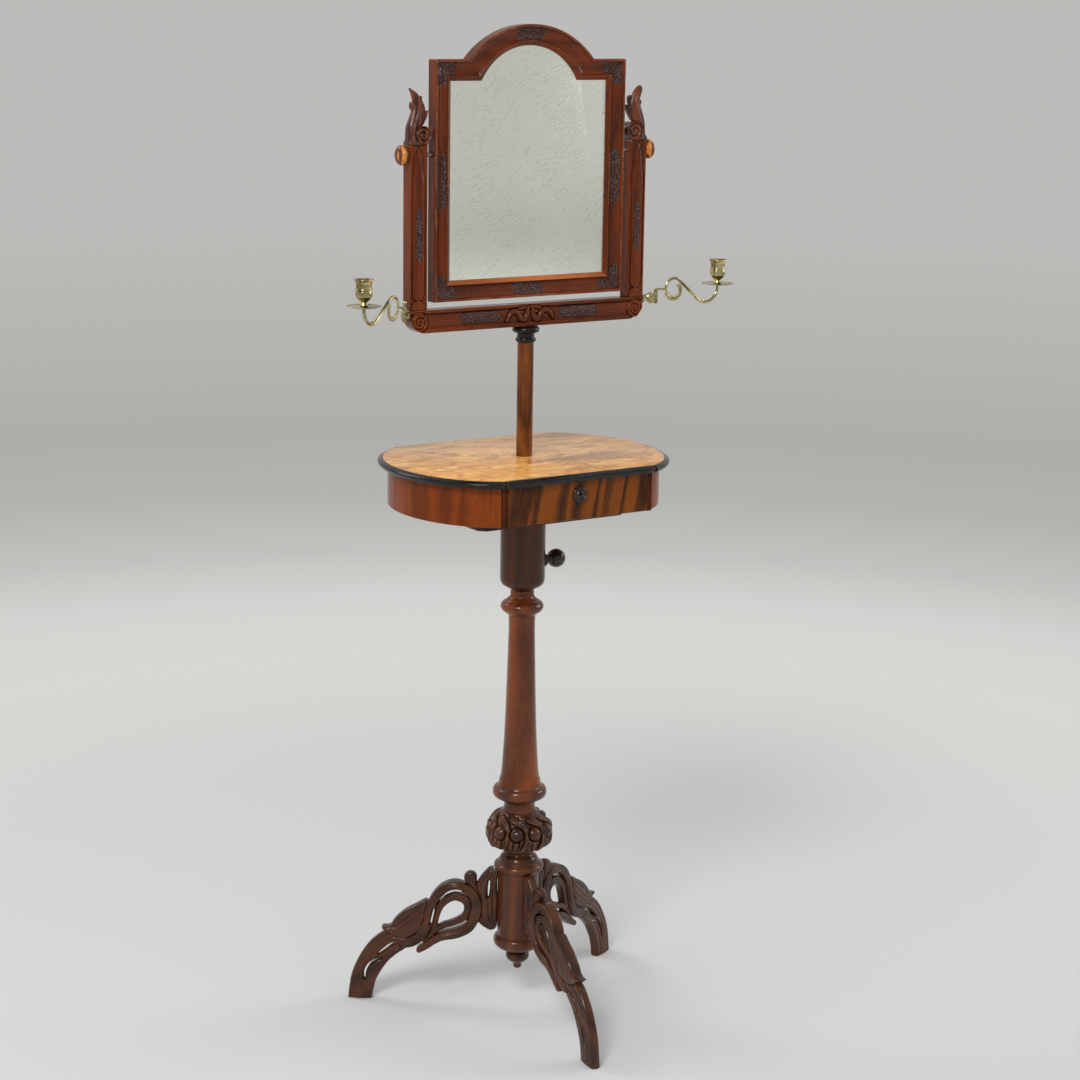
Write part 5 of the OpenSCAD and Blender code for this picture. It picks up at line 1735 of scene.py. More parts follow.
@dataclass
class Harp:
    """Carved rail, and two posts with their carved tops."""

    half: float = 226.0
    post_width: float = 32.0
    front: float = -14.0
    back: float = 12.0
    corner: float = 28.0
    pitch: float = 0.9
    crest_pitch: float = 0.7
    crest_window: tuple[Point, Point] = ((-34, -1), (24, 92))
    rail_height: float = 37.0
    flat: float = 11.6
    rail_volute: Station = (17.0, 18.0, 15.5)
    eye: Point = (13.5, 20.0)
    panel_middle: Point = (96.0, 20.0)
    panel_half: Point = (40.0, 9.5)
    ground: Point = (77.0, 163.0)
    volute: Station = (-8.0, 14.8, 14.8)
    scroll: tuple[Station, ...] = (
        (2, 33, 1.6), (5, 27, 3.0), (6, 18, 4.2), (11, 11.5, 4.8), (18, 14, 5.0), (22, 21, 4.6),
        (29, 26, 4.6), (37, 23, 4.2), (42, 16, 3.2), (46, 10, 1.2))
    curl: tuple[Station, ...] = (
        (4, 32, 1.8), (12, 31, 2.8), (20, 29, 2.6), (25, 24, 1.6))
    leaves: tuple[tuple[Station, ...], ...] = (
        ((4, 1, 13), (5, 14, 12.5), (5, 26, 11.5), (0, 39, 12), (-4, 52, 11.5), (-3, 64, 8.5), (3, 76, 5.5),
         (12, 87, 1)),
        ((4, 1, 13), (4, 14, 12.5), (5, 26, 11), (1, 39, 12), (-3, 52, 11.5), (-3, 64, 9), (1, 75, 8),
         (6, 83, 6)))
    lobes: tuple[tuple[tuple[Station, ...], ...], ...] = (
        (((-6, 34, 6), (-13, 44, 4.5), (-19, 52, 1)), ((0, 50, 6), (7, 59, 4), (9, 66, 1)),
         ((-6, 60, 5), (-7, 69, 3), (-9, 75, 0.8))),
        (((-4, 36, 7), (-13, 47, 4.5), (-20, 57, 1)), ((-5, 52, 7), (-11, 62, 5.5), (-13, 69, 4)),
         ((2, 54, 6), (6, 60, 3), (8, 64, 1))))

    @property
    def middle(self) -> float:
        """Place of the harp's middle plane."""
        return (self.front + self.back) / 2

    def build(self) -> None:
        """Builds and dresses the harp."""
        low, top = heights("harp_rail")[0], heights("post_right")[1]
        self.rail(low, low + self.rail_height)
        for side, name in ((-1, "left"), (1, "right")):
            self.post(side, name, low + self.rail_height, top)
            self.cresting(side, name, top)

    def rail(self, low: float, high: float) -> None:
        """Carves the rail.

        Args:
            low, high: Its heights.
        """
        half, r, tall = self.half, self.corner, high - low
        relief = Relief((-half - 1, -1), (half + 1, tall + 1), self.pitch)
        x, z = relief.x, relief.z
        dx, dz = np.maximum(np.abs(x) - (half - r), 0), np.maximum(r - z, 0)
        relief.outline = np.maximum(np.maximum(np.hypot(dx, dz) - r, np.abs(x) - half),
                                    np.maximum(z - tall, -z))
        flat = self.flat
        relief.height = np.full(x.shape, flat)
        top = z - tall
        relief.height += 1.6 * np.clip((top + 5.5) / 0.8, 0, 1) - 2.2 * groove(top + 7, 1.3)
        relief.height += 1.4 * np.clip((7.0 - z) / 0.8, 0, 1) - 2.0 * groove(z - 8.4, 1.1)
        relief.height += 0.9 * np.cos(np.clip((z - 19.5) / 11, -1, 1) * math.pi) * ((z > 9) & (z < 31))
        relief.height -= 1.6 * groove(self.rail_panel(x, z) - 0.8, 0.8)
        inward, rise, reach = self.rail_volute
        straps = (Strap(self.curl, flat + 2.0, 1.4, 2.2, 3.0, lines=(0.2,), line_depth=1.4),
                  Strap(self.scroll, flat + 3.0, 2.2, 2.8, 3.6, lines=(-0.25,), line_depth=1.8))
        edge = relief.outline.copy()
        for side in (-1, 1):
            dx, dz = x - side * (half - inward), z - rise
            away = np.hypot(dx, dz)
            spiral = np.mod(away / 6.2 - np.arctan2(dz, side * dx) / (2 * math.pi), 1)
            scroll = flat - 2.2 + 4.8 * np.sin(spiral * math.pi) ** 0.6
            relief.height = np.where(away < reach, scroll, relief.height)
            relief.height -= 3.0 * groove(away - reach - 0.9, 1.2)
            for strap in straps:
                relief.lay(strap.moved(side=side))
            relief.outline = edge
            eye = np.hypot(x - side * self.eye[0], z - self.eye[1])
            relief.height -= 3.2 * np.exp(-(eye / 2.6) ** 4)
        rail = relief.solid(1.2, back=self.back - self.middle)
        rail.points = rail.points + [0, self.middle, low]
        at_x, at_y, at_z = rail.points.T
        rail.grain = np.column_stack([at_y, at_z, at_x])
        rail.panel = np.maximum(self.rail_panel(at_x, at_z - low), at_y + 9)
        rail.piece("carved_rail", "harp", Slot.RED, [Look.POST], ["harp_rail"], crease=60)

    def rail_panel(self, x: np.ndarray, z: np.ndarray) -> np.ndarray:
        """Distance outside the two punched panels of the rail.

        Args:
            x, z: Places, the height counted from the rail's foot.

        Returns:
            The distances, negative inside.
        """
        rise = np.abs(z - self.panel_middle[1])
        run = np.abs(np.abs(x) - self.panel_middle[0])
        return np.maximum(run - self.panel_half[0] + rise * 0.9, rise - self.panel_half[1])

    def post_panel(self, x: np.ndarray, z: np.ndarray, half: float) -> np.ndarray:
        """Distance outside the punched panel of a post.

        Args:
            x, z: Places, the height counted from the post's foot.
            half: Half the panel's width.

        Returns:
            The distances, negative inside.
        """
        low, high = self.ground
        rise = np.abs(z - (low + high) / 2) - (high - low) / 2
        return np.maximum(np.abs(x) - half, rise + np.abs(x) * 1.5)

    def post(self, side: int, name: str, low: float, high: float) -> None:
        """Carves a post.

        Args:
            side: -1 for the left post, 1 for the right.
            name: Left or right.
            low, high: Its heights.
        """
        half, tall = self.post_width / 2, high - low
        relief = Relief((-half - 1, -1), (half + 1, tall + 1), self.pitch)
        x, z = relief.x, relief.z
        relief.outline = np.maximum(np.abs(x) - half, np.maximum(z - tall, -z))
        relief.height = np.full(x.shape, 9.0)
        tip = tall - 6
        width = np.interp(z, [15, 19, 26, tip - 52, tip - 40, tip - 26, tip - 12, tip],
                          [2, 8, 11, 11, 8.5, 7.5, 5, 0.1])
        across = np.clip(np.abs(x) / np.maximum(width, 0.1), 0, 1)
        panel = 9.6 + 3.4 * np.sqrt(1 - across ** 2)
        inside = ramp(width - np.abs(x)) * np.clip((tip - z) / 2, 0, 1)
        relief.height = relief.height * (1 - inside) + panel * inside
        relief.height -= 1.7 * groove(np.abs(x) - width - 1, 1.0)
        relief.height += 1.6 * np.clip((np.abs(x) - half + 3.4) / 0.8, 0, 1)
        button = np.hypot(x, np.maximum(z - 3, 0))
        cap = ramp(12.5 - button, 1.0)
        relief.height = relief.height * (1 - cap) + (12.2 - 0.1 * np.maximum(z, 0)) * cap
        relief.height -= 1.8 * groove(button - 13.2, 0.9)
        relief.height -= 0.5 * ramp(-self.post_panel(x, z, 6.2))
        post = relief.solid(1.0, back=self.back - self.middle)
        px, py, pz = post.points.T
        post.panel = np.maximum(self.post_panel(px, pz, 6), py + 8)
        post.grain = post.points + 900.0 * side
        post.points = post.points + [side * (self.half - half), self.middle, low]
        post.piece("post_" + name + "_carved", "harp", Slot.RED, [Look.POST], ["post_" + name], crease=50)

    def cresting(self, side: int, name: str, low: float) -> None:
        """Carves the top of a post: a leaf that rises from a volute.

        Args:
            side: -1 for the left one, 1 for the right.
            name: Left or right.
            low: Height of the top of the post.
        """
        relief = Relief(*self.crest_window, self.crest_pitch)
        volute_x, volute_z, reach = self.volute
        relief.height += 7
        dx, dz = relief.x - volute_x, relief.z - volute_z
        away = np.hypot(dx, dz)
        for n, lobe in enumerate(self.lobes[side > 0]):
            relief.lay(Strap(lobe, 9 - n, 1.6, 2.4, 1.4, lines=(0.1,), line_depth=1.2))
        relief.lay(Strap(self.leaves[side > 0], 10.5, 5.5, 3.4, 1.4, lines=(-0.42, 0.3), line_depth=2.0))
        relief.height *= np.interp(relief.z, [0, 10, 26, 40, 66, 88], [1.24, 1.22, 1.04, 0.9, 0.66, 0.4])
        spiral = np.mod(away / 7.4 + np.arctan2(dz, dx) / (2 * math.pi) + 0.1, 1)
        disc = 7.6 + 5.0 * np.sin(spiral * math.pi) ** 0.6
        relief.height -= np.where(away > reach, 2.6 * groove(away - reach, 1.6), 0)
        relief.height = np.where(away < reach, disc, relief.height)
        foot = np.maximum(np.abs(relief.x) - self.post_width / 2 + 0.05 * relief.z ** 2, relief.z - 12)
        relief.height = np.where((foot < 1) & (away > reach),
                                 np.maximum(relief.height, 12.4 - 0.2 * relief.z), relief.height)
        relief.outline = np.minimum(np.minimum(relief.outline, away - reach), foot)
        relief.outline = np.maximum(relief.outline, -relief.z)
        top = relief.solid(1.4)
        top.points = top.points * [side, 1, 1]
        if side < 0:
            top.faces = [tuple(reversed(f)) for f in top.faces]
        top.grain = top.points + 300.0 * side
        top.points = top.points + [side * (self.half - self.post_width / 2), self.middle, low]
        top.piece("cresting_" + name + "_carved", "harp", Slot.CARVED, [Look.CREST], ["cresting_" + name],
                  crease=60)


@dataclass
class Mirror:
    """Moulded frame with an arched top, its stippled panels, the glass and the back."""

    half: float = 181.0
    member: float = 33.0
    depth: float = 22.0
    shoulder: float = 382.0
    rise: float = 55.0
    outer_radius: float = 155.0
    inner_radius: float = 101.5
    rebate: float = 7.0
    section: tuple[Point, ...] = (
        (0, 1.2), (0.01, 0.4), (0.03, 0.02), (0.1, 0.0), (0.12, 0.4), (0.13, 2.4), (0.145, 3.0), (0.165, 3.2),
        (0.2, 3.8), (0.24, 4.8), (0.29, 5.9), (0.34, 6.9), (0.39, 7.7), (0.44, 8.3), (0.5, 8.8), (0.56, 9.0),
        (0.62, 8.9), (0.67, 8.4), (0.71, 7.4), (0.74, 6.0), (0.765, 4.6), (0.785, 4.0), (0.81, 4.0),
        (0.84, 4.8), (0.89, 6.3), (0.945, 7.9), (0.985, 9.1), (1.0, 9.7))
    hollow: Point = (0.15, 0.755)
    corner_reach: float = 39.0
    stile_panel: float = 38.0
    base_panel: float = 25.0
    top_panel: float = 24.0
    flares: tuple[float, ...] = (8, 5, 9, 8, 4)
    crown_half: float = 60.0
    crown_radius: float = 140.0
    ground_sink: Point = (0.45, 1.6)
    sight: float = 0.78
    bore: float = 3.8
    ring: float = 4.0
    glass_face: float = 10.0
    glass_play: float = 0.2

    @cached_property
    def bottom(self) -> float:
        """Height of the frame's bottom."""
        return heights("mirror_stile_left")[0]

    @cached_property
    def face(self) -> float:
        """Place of the frame's front."""
        return span("mirror_stile_left")[0][1]

    @property
    def seat(self) -> float:
        """Share of the moulding at which the glass is let in."""
        return 1 - self.rebate / self.member

    def corner(self, side: int, top: bool) -> Place:
        """A corner of the frame at every share of the moulding.

        Args:
            side: -1 for the left, 1 for the right.
            top: Whether it is one of the shoulders.

        Returns:
            Its place for each share.
        """
        outer = self.bottom + (self.shoulder if top else 0)
        inner = self.bottom + (self.shoulder - self.member - 1 if top else self.member)
        return lambda t: (side * (self.half - self.member * t), outer + (inner - outer) * t)

    @staticmethod
    def between(first: Place, last: Place, steps: int) -> list[Place]:
        """Places on the straight line from one place to another, both included."""
        return [lambda t, n=n: tuple(np.array(first(t)) * (1 - n / steps) + np.array(last(t)) * n / steps)
                for n in range(steps + 1)]

    def arch(self, share: float, steps: int = 180) -> list[Point]:
        """The arch from the right shoulder to the left one.

        Args:
            share: 0 at the outer edge, 1 at the glass.
            steps: Number of chords.

        Returns:
            Points in the frame's plane.
        """
        shoulder, inner = self.bottom + self.shoulder, self.bottom + self.shoulder - self.member - 1
        top = shoulder + self.rise
        outer_centre = top - self.outer_radius
        inner_centre = top - self.member - 0.5 - self.inner_radius
        radius = self.outer_radius + (self.inner_radius - self.outer_radius) * share
        centre = outer_centre + (inner_centre - outer_centre) * share
        foot = shoulder + (inner - shoulder) * share
        reach = math.acos((foot - centre) / radius)
        return [(radius * math.sin(a), centre + radius * math.cos(a))
                for a in np.linspace(reach, -reach, steps + 1)]

    def build(self, frame: dict[str, object]) -> None:
        """Builds and dresses the mirror.

        Args:
            frame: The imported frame.
        """
        rear = self.seat
        shares = (*[t for t, _ in self.section], 1.0, rear, rear - 0.03, 0.03, 0.0)
        arches = {t: self.arch(t) for t in shares}
        around = [lambda t, n=n: arches[t][n] for n in range(len(arches[0.0]))]
        right, left = self.corner(1, True), self.corner(-1, True)
        runs = self.between(right, around[0], 40)[:-1] + around + self.between(around[-1], left, 40)[1:]
        self.member_piece("mirror_arch_rail", runs, "frame_arch", Along.X)
        for side, name in ((-1, "left"), (1, "right")):
            runs = self.between(self.corner(side, True), self.corner(side, False), 240)
            self.member_piece("mirror_stile_" + name, runs, "frame_stile_" + name, Along.Z)
        runs = self.between(self.corner(1, False), self.corner(-1, False), 240)
        self.member_piece("mirror_bottom_rail", runs, "frame_bottom", Along.X, painted_highlight=True)
        self.glass(arches[rear])
        self.bushes()
        dress({"mirror_backboard": Look.PINE_Z, "tilt_screw_left": Look.IRON, "tilt_screw_right": Look.IRON,
               "bracket_screws": Look.BRASS_CAD}, frame)

    def bushes(self) -> None:
        """Builds the brass rings of the tilt screws, which end where the moulding's hollow begins."""
        low, high = span("pivot_bushes")
        middle, radius = (low + high) / 2, (high[2] - low[2]) / 2
        line = [(self.bore, 0), (radius - 0.4, 0), (radius, 0.4), (radius, self.ring - 0.5),
                (radius - 0.5, self.ring), (self.bore, self.ring)]
        pair = [sleeve(line).placed(sideways(side, side * (high[0] - self.ring), middle[1], middle[2]))
                for side in (-1, 1)]
        joined(pair).piece("pivot_bush_rings", "mirror", Slot.BRASS, [Look.BRASS], ["pivot_bushes"])

    def punched(self, x: float, z: float, t: float) -> float:
        """Distance outside the nearest punched panel of the frame.

        Args:
            x, z: A place in the frame's plane.
            t: Its share of the moulding.

        Returns:
            The distance, negative inside.
        """
        low, high = self.hollow
        outer = min(max((high - t) / (high - low), 0), 1)
        arrow = 1 - abs(2 * outer - 1)
        side, base, top = self.half - abs(x), z - self.bottom, self.bottom + self.shoulder - z
        centre = self.bottom + self.shoulder + self.rise - self.outer_radius
        lower, upper, stile, base_flare, crown = self.flares
        runs = [max(side, base) - self.corner_reach - lower * outer]
        if base > self.member:
            runs.append(max(side, top) - self.corner_reach - upper * outer ** 2)
        if side < self.member:
            runs.append(abs(base - self.shoulder / 2) - self.stile_panel - stile * arrow)
        if base < self.member:
            runs.append(abs(x) - self.base_panel - base_flare * arrow)
        if abs(x) < self.crown_half and z > centre:
            turn = abs(math.atan2(x, z - centre))
            runs.append(turn * self.crown_radius - self.top_panel - crown * arrow)
        return max(min(runs), (low - t) * self.member, (t - high) * self.member)

    def member_piece(self, node: str, runs: Sequence[Place], name: str, along: Along,
                     painted_highlight: bool = False) -> None:
        """Lofts one member of the frame.

        Args:
            node: CAD node that it stands for.
            runs: Places along the member.
            name: The piece's name.
            along: Direction of the grain.
            painted_highlight: Whether its sight edge takes a lighter wood, as a painted highlight where it
                faces up to the light.
        """
        face, inner = self.face, self.seat
        seat, rear = face + self.glass_face, face + self.depth
        sink, slope = self.ground_sink
        rings, panel = [], []
        for place in runs:
            ring = []
            for t, d in self.section:
                edge = self.punched(*place(t), t)
                panel.append(edge)
                ring.append((*place(t), face + d + sink * min(max(0.5 - edge / slope, 0), 1)))
            back = ((1.0, seat), (inner, seat), (inner, rear), (inner - 0.03, rear), (0.03, rear),
                    (0.0, rear), (0.0, rear - 1.2), (0.0, face + 2.4))
            ring += [(*place(t), y) for t, y in back]
            panel += [9.0] * len(back)
            rings.append([(x, y, z) for x, z, y in ring])
        shape = loft(np.array(rings))
        shape.panel = np.array(panel)
        count = len(rings[0])
        # Only where asked, the sight edge takes the lighter wood as a painted highlight.
        sight = {i for i, (t, _) in enumerate(self.section) if t > self.sight and painted_highlight}
        shape.kinds = [int(len(f) == 4 and {i % count for i in f} <= sight) for f in shape.faces]
        shape.piece(name, "mirror", Slot.RED, [Look.POST, Look.SIGHT_HIGHLIGHT], [node], along, crease=32)

    def glass(self, arch: Sequence[Point]) -> None:
        """Builds the glass.

        Args:
            arch: The arch at the edge of the glass.
        """
        t, play, front = self.seat, self.glass_play, self.face + self.glass_face
        side = self.half - self.member * t - play
        base = self.bottom + self.member * t + play
        shoulder = self.bottom + self.shoulder + (-self.member - 1) * t - play
        line = [(-side, base), (side, base), (side, shoulder), *[(x, z - play) for x, z in arch],
                (-side, shoulder)]
        upright = Matrix(((1, 0, 0, 0), (0, 0, 1, 0), (0, 1, 0, 0), (0, 0, 0, 1)))
        plate = slab(line, front, front + 3, 0.25).placed(upright)
        plate.grain = None
        plate.piece("old_mirror_glass", "mirror", Slot.GLASS, [Look.MIRROR], ["mirror_glass"])


@dataclass
class TiltKnobs:
    """Light wooden knobs at the tilt pivots."""

    radius: float = 16.0
    thickness: float = 18.0

    def build(self) -> None:
        """Builds and dresses both knobs."""
        for side, name in ((-1, "left"), (1, "right")):
            low, high = span("tilt_knob_" + name)
            start = low[0] if side > 0 else -high[0]
            middle, half = start + self.thickness * 0.55, self.thickness / 2
            rows = [(3.6, start), (8, start), (8.6, start + 1.4)]
            rows += [(self.radius * math.cos(a), middle + half * math.sin(a) * 0.95)
                     for a in np.radians(np.linspace(-52, 87, 26))]
            turn = sideways(side, 0, (low[1] + high[1]) / 2, (low[2] + high[2]) / 2)
            knob = lathe(eased(rows, 0.4), 96)
            knob.grain = knob.points[:, [1, 2, 0]] + 80.0 * side
            knob.placed(turn).piece("knob_" + name + "_turned", "knob_" + name, Slot.KNOB, [Look.KNOB],
                                    ["tilt_knob_" + name])


@dataclass
class CandleArm:
    """Bracket, hinge link, bent arm, drip pan and cup of one side."""

    side: int
    link_swing: float
    arm_swing: float
    pin_x: float = 232.5
    link_length: float = 27.5
    reach: float = 130.0
    ring: float = 17.5
    bend: float = 25.0
    pan: float = 27.5
    cup: float = 41.0
    seat: float = 4.4
    rise: float = 0.0
    ball: bool = False

    @property
    def name(self) -> str:
        """Left or right."""
        return "left" if self.side < 0 else "right"

    def place(self, arm: bool) -> Matrix:
        """Where the link or the arm is at rest.

        Args:
            arm: True for the arm, False for the link.

        Returns:
            Its matrix in millimetres.
        """
        mirror = Matrix.Diagonal((self.side, 1, 1, 1))
        pose = mirror @ Matrix.Translation((self.pin_x, -1, 0)) \
            @ Matrix.Rotation(math.radians(-self.link_swing), 4, "Z")
        if arm:
            pose = pose @ Matrix.Translation((self.link_length, 0, 0)) \
                @ Matrix.Rotation(math.radians(self.link_swing - self.arm_swing), 4, "Z")
        return pose

    def build(self) -> None:
        """Builds and dresses the arm and what it carries."""
        name = self.name
        bar = heights("candle_cup_" + name)[0] - self.seat - self.rise
        pose = self.place(True) @ Matrix.Translation((0, 0, bar))
        carried = pose @ Matrix.Translation((self.reach, 0, self.seat + self.rise))
        r, h = self.pan, self.cup
        pan = [(4, -1.2), (10, -1.8), (r - 7, -2.15), (r - 3, -1.7), (r - 1, -0.8), (r - 0.1, -0.25),
               (r - 0.3, 0.25), (r - 1.2, 0.35), (r - 3.4, -0.5), (r - 7, -1.1), (10, -0.6), (4, -0.02)]
        vase = flow([(5.4, 6.6), (8.8, 9), (12.2, 13.6), (13.1, 18), (12.7, 22.6)])
        lip = flow([(12.2, 27.4), (12.0, 30.5), (12.3, 34), (13.6, h - 3.4), (15.8, h - 1.2)])
        cup = [(2.1, 0.02), (6.2, 0), (6.6, 0.9), (5.9, 2.6), (4.9, 4.8), *vase, (12.3, 23.2),
               *bead(12.5, 23.6, 26.4, 1.8, 10), (12.2, 26.8), *lip, (16.0, h - 0.6), (15.6, h - 0.02),
               (14.8, h - 0.2), (12.6, h - 1.6), (11.4, h - 3.4), (11.2, h - 5), (11.2, h - 25.9),
               (0.6, h - 26)]
        for shape, piece, node, body in (
                (self.arm(bar).placed(pose), "bent_arm_", "candle_arm_", "arm_"),
                (lathe(eased(pan, 0.2), 96).placed(carried), "pan_", "drip_pan_", "arm_"),
                (lathe(eased(cup, 0.3), 96).placed(carried), "cup_", "candle_cup_", "arm_"),
                (self.link().placed(self.place(False)), "hinge_link_", "candle_link_", "link_")):
            shape.piece(piece + name, body + name, Slot.BRASS, [Look.BRASS], [node + name])

    def link(self) -> Shape:
        """The hinge link from its inner pin: a small eye, a waisted block and the barrel of the arm.

        Returns:
            The shape, at its own height.
        """
        low, high = heights("candle_link_" + self.name)
        eye_low = low + (high - low - 12.3) / 2
        neck = eye_low + 6.3
        stations = ((1.0, neck, neck + 6, 1.8), (8.0, neck, neck + 6, 2.4),
                    (9.5, eye_low + 1.4, neck + 6, 4.0), (11.5, eye_low - 0.6, neck + 6.8, 4.0),
                    (13.6, low + 0.9, high - 0.9, 3.9), (14.6, low, high, 3.7),
                    (19.0, low + 0.3, high - 0.3, 3.2), (21.4, low + 0.6, high - 0.6, 2.6),
                    (21.9, low + 0.8, high - 0.8, 1.5), (25.5, low + 0.8, high - 0.8, 1.5))
        rings = [[(x, y, z) for y, z in chamfered((-half, base), (half, top), min(0.7, half / 2))]
                 for x, base, top, half in stations]
        eye = [(1.9, neck), (3.6, neck), (4.0, neck + 0.4), (4.0, neck + 5.6), (3.6, neck + 6),
               (1.9, neck + 6)]
        barrel = [(1.9, low), (3.1, low), (3.4, low + 0.3)]
        for seam in (low + 6.3, low + 12.6):
            barrel += [(3.4, seam - 0.3), (3.0, seam - 0.1), (3.0, seam + 0.1), (3.4, seam + 0.3)]
        barrel += [(3.4, high - 0.3), (3.1, high), (1.9, high)]
        outer = sleeve(barrel).placed(Matrix.Translation((self.link_length, 0, 0)))
        return joined((loft(np.array(rings)), sleeve(eye), outer))

    def bracket(self) -> Shape:
        """The plate on the rail's end, with its eye and pin.

        Returns:
            The shape.
        """
        low, high = heights("candle_brackets")
        eye_low, inner = low + 1, self.pin_x - 6.5
        rings = []
        for x, grow in ((inner + 0.01, 0), (inner + 1.5, 0), (inner + 2, -0.6)):
            plan = chamfered((-10 - grow, low - grow), (10 + grow, high - 0.3 + grow), 2)
            rings.append([(x, y, z) for y, z in plan])
        plate = loft(np.array(rings)).placed(Matrix.Translation((0, -1, 0)))
        web = slab(box_outline((inner + 1.6, -3.4), (self.pin_x - 2.4, 1.4)), eye_low, eye_low + 6, 0.6)
        eye = [(0.4, eye_low), (3.6, eye_low), (4.0, eye_low + 0.4), (4.0, eye_low + 5.6), (3.6, eye_low + 6),
               (1.8, eye_low + 6.05), (1.8, eye_low + 11.9), (1.5, eye_low + 12.3), (0.3, eye_low + 12.35)]
        return joined((plate, web, lathe(eye, 40).placed(Matrix.Translation((self.pin_x, -1, 0)))))

    def arm(self, height: float) -> Shape:
        """The bent arm in its own plane, its hinge at the origin and its bar at height 0.

        Args:
            height: Height of the bar in the whole.

        Returns:
            The shape.
        """
        rise, bend = self.rise, self.bend
        ring, low = np.array([20.5 + self.ring, 0.3 * rise]), np.array([self.reach - bend, rise - 2.0])
        away = np.linalg.norm(low - ring)
        slope = math.asin((self.ring + bend) / away) - math.atan2(low[1] - ring[1], low[0] - ring[0])
        lean = math.degrees(slope)
        rod = np.array([*arc(ring, self.ring, 178, 90 - lean, 29), *arc(low, bend, 270 - lean, 360, 29),
                        (self.reach, rise + 0.5), (self.reach, rise + self.seat + 0.8)])
        swell = np.interp(np.arange(len(rod)), [0, 8, 29, 40, 56, 61], [1.9, 2.4, 2.6, 2.7, 2.7, 2.3])
        bar = np.array([(0.0, 0.4), (8.0, 0.6), (18.0, ring[1] * 0.8 + 0.2), (21.5, ring[1] + 0.4)])
        shapes = [tube(rod, swell, 24), tube(smooth_line(bar, 5), [1.9] * 16, 16, 1.1), self.leafy(ring)]
        shapes += [self.bud(rod[int(share * len(rod))], tilt, 2.6) for share, tilt in ((0.13, 60), (0.2, 40))]
        bottom = low + [-0.3 * bend, -0.95 * bend]
        for shift, tilt in ((0.0, 100), (4.0, 75), (9.0, 60)):
            shapes += [self.bud(bottom + [shift, 2.2], tilt, 2.4),
                       self.bud(bottom + [shift - 2, -0.8], tilt + 180, 1.9)]
        pin_low, link_top = (z - height for z in heights("candle_link_" + self.name))
        top = link_top + 0.3
        shapes += [lathe([(0.4, top), (3.1, top), (3.4, top + 0.3), (3.4, 1.4), (3.0, 1.9), (0.4, 2.1)], 48),
                   lathe([(0.3, pin_low - 1.5), (1.5, pin_low - 1.4), (1.8, pin_low - 1), (1.8, top + 0.2),
                          (0.3, top + 0.25)], 32)]
        if self.ball:
            shapes.append(lathe([(1.6, 1.9), (1.6, 4.4), *arc((0, 8), 3.8, -60, 88, 14), (0.2, 11.8)], 48))
        return joined(shapes)

    def leafy(self, ring: np.ndarray) -> Shape:
        """The leafy strand that goes under the ring and curls up inside it.

        Args:
            ring: Middle of the ring.

        Returns:
            The shape.
        """
        first, last = 172, 405
        turns = np.linspace(first, last, 90)
        reach = np.interp(turns, [first, 300, 360, last],
                          [self.ring - 0.4, self.ring - 1.2, self.ring - 4.5, self.ring - 9])
        line = np.column_stack([ring[0] + reach * np.cos(np.radians(turns)),
                                ring[1] + reach * np.sin(np.radians(turns))])
        shapes = [tube(line, np.interp(turns, [first, 200, 360, last], [1.5, 1.9, 1.6, 0.9]), 14, 0.9)]
        for a in range(200, 404, 12):
            r = float(np.interp(a, turns, reach))
            spoke = np.array([math.cos(math.radians(a)), math.sin(math.radians(a))])
            for out, size, tilt in ((1, 3.3, 35), (-1, 2.7, 145)):
                grow = size * (1 - 0.4 * max(0, (a - 340) / 65))
                shapes.append(self.bud(ring + (r + out * 1.9) * spoke, a + tilt, grow))
        return joined(shapes)

    def bud(self, spot: np.ndarray, tilt: float, size: float) -> Shape:
        """A small leaf or bud of cast brass.

        Args:
            spot: Its place in the arm's plane.
            tilt: Direction of its tip in degrees.
            size: Its length.

        Returns:
            The shape.
        """
        ahead = np.array([math.cos(math.radians(tilt)), math.sin(math.radians(tilt))])
        shares = np.array([-0.7, -0.45, 0.0, 0.4, 0.75, 1.0])
        line = np.array(spot) + size * shares[:, None] * ahead
        return tube(line, np.array([0.25, 0.6, 0.78, 0.6, 0.34, 0.1]) * size, 10, 0.75)


# The photograph's studio


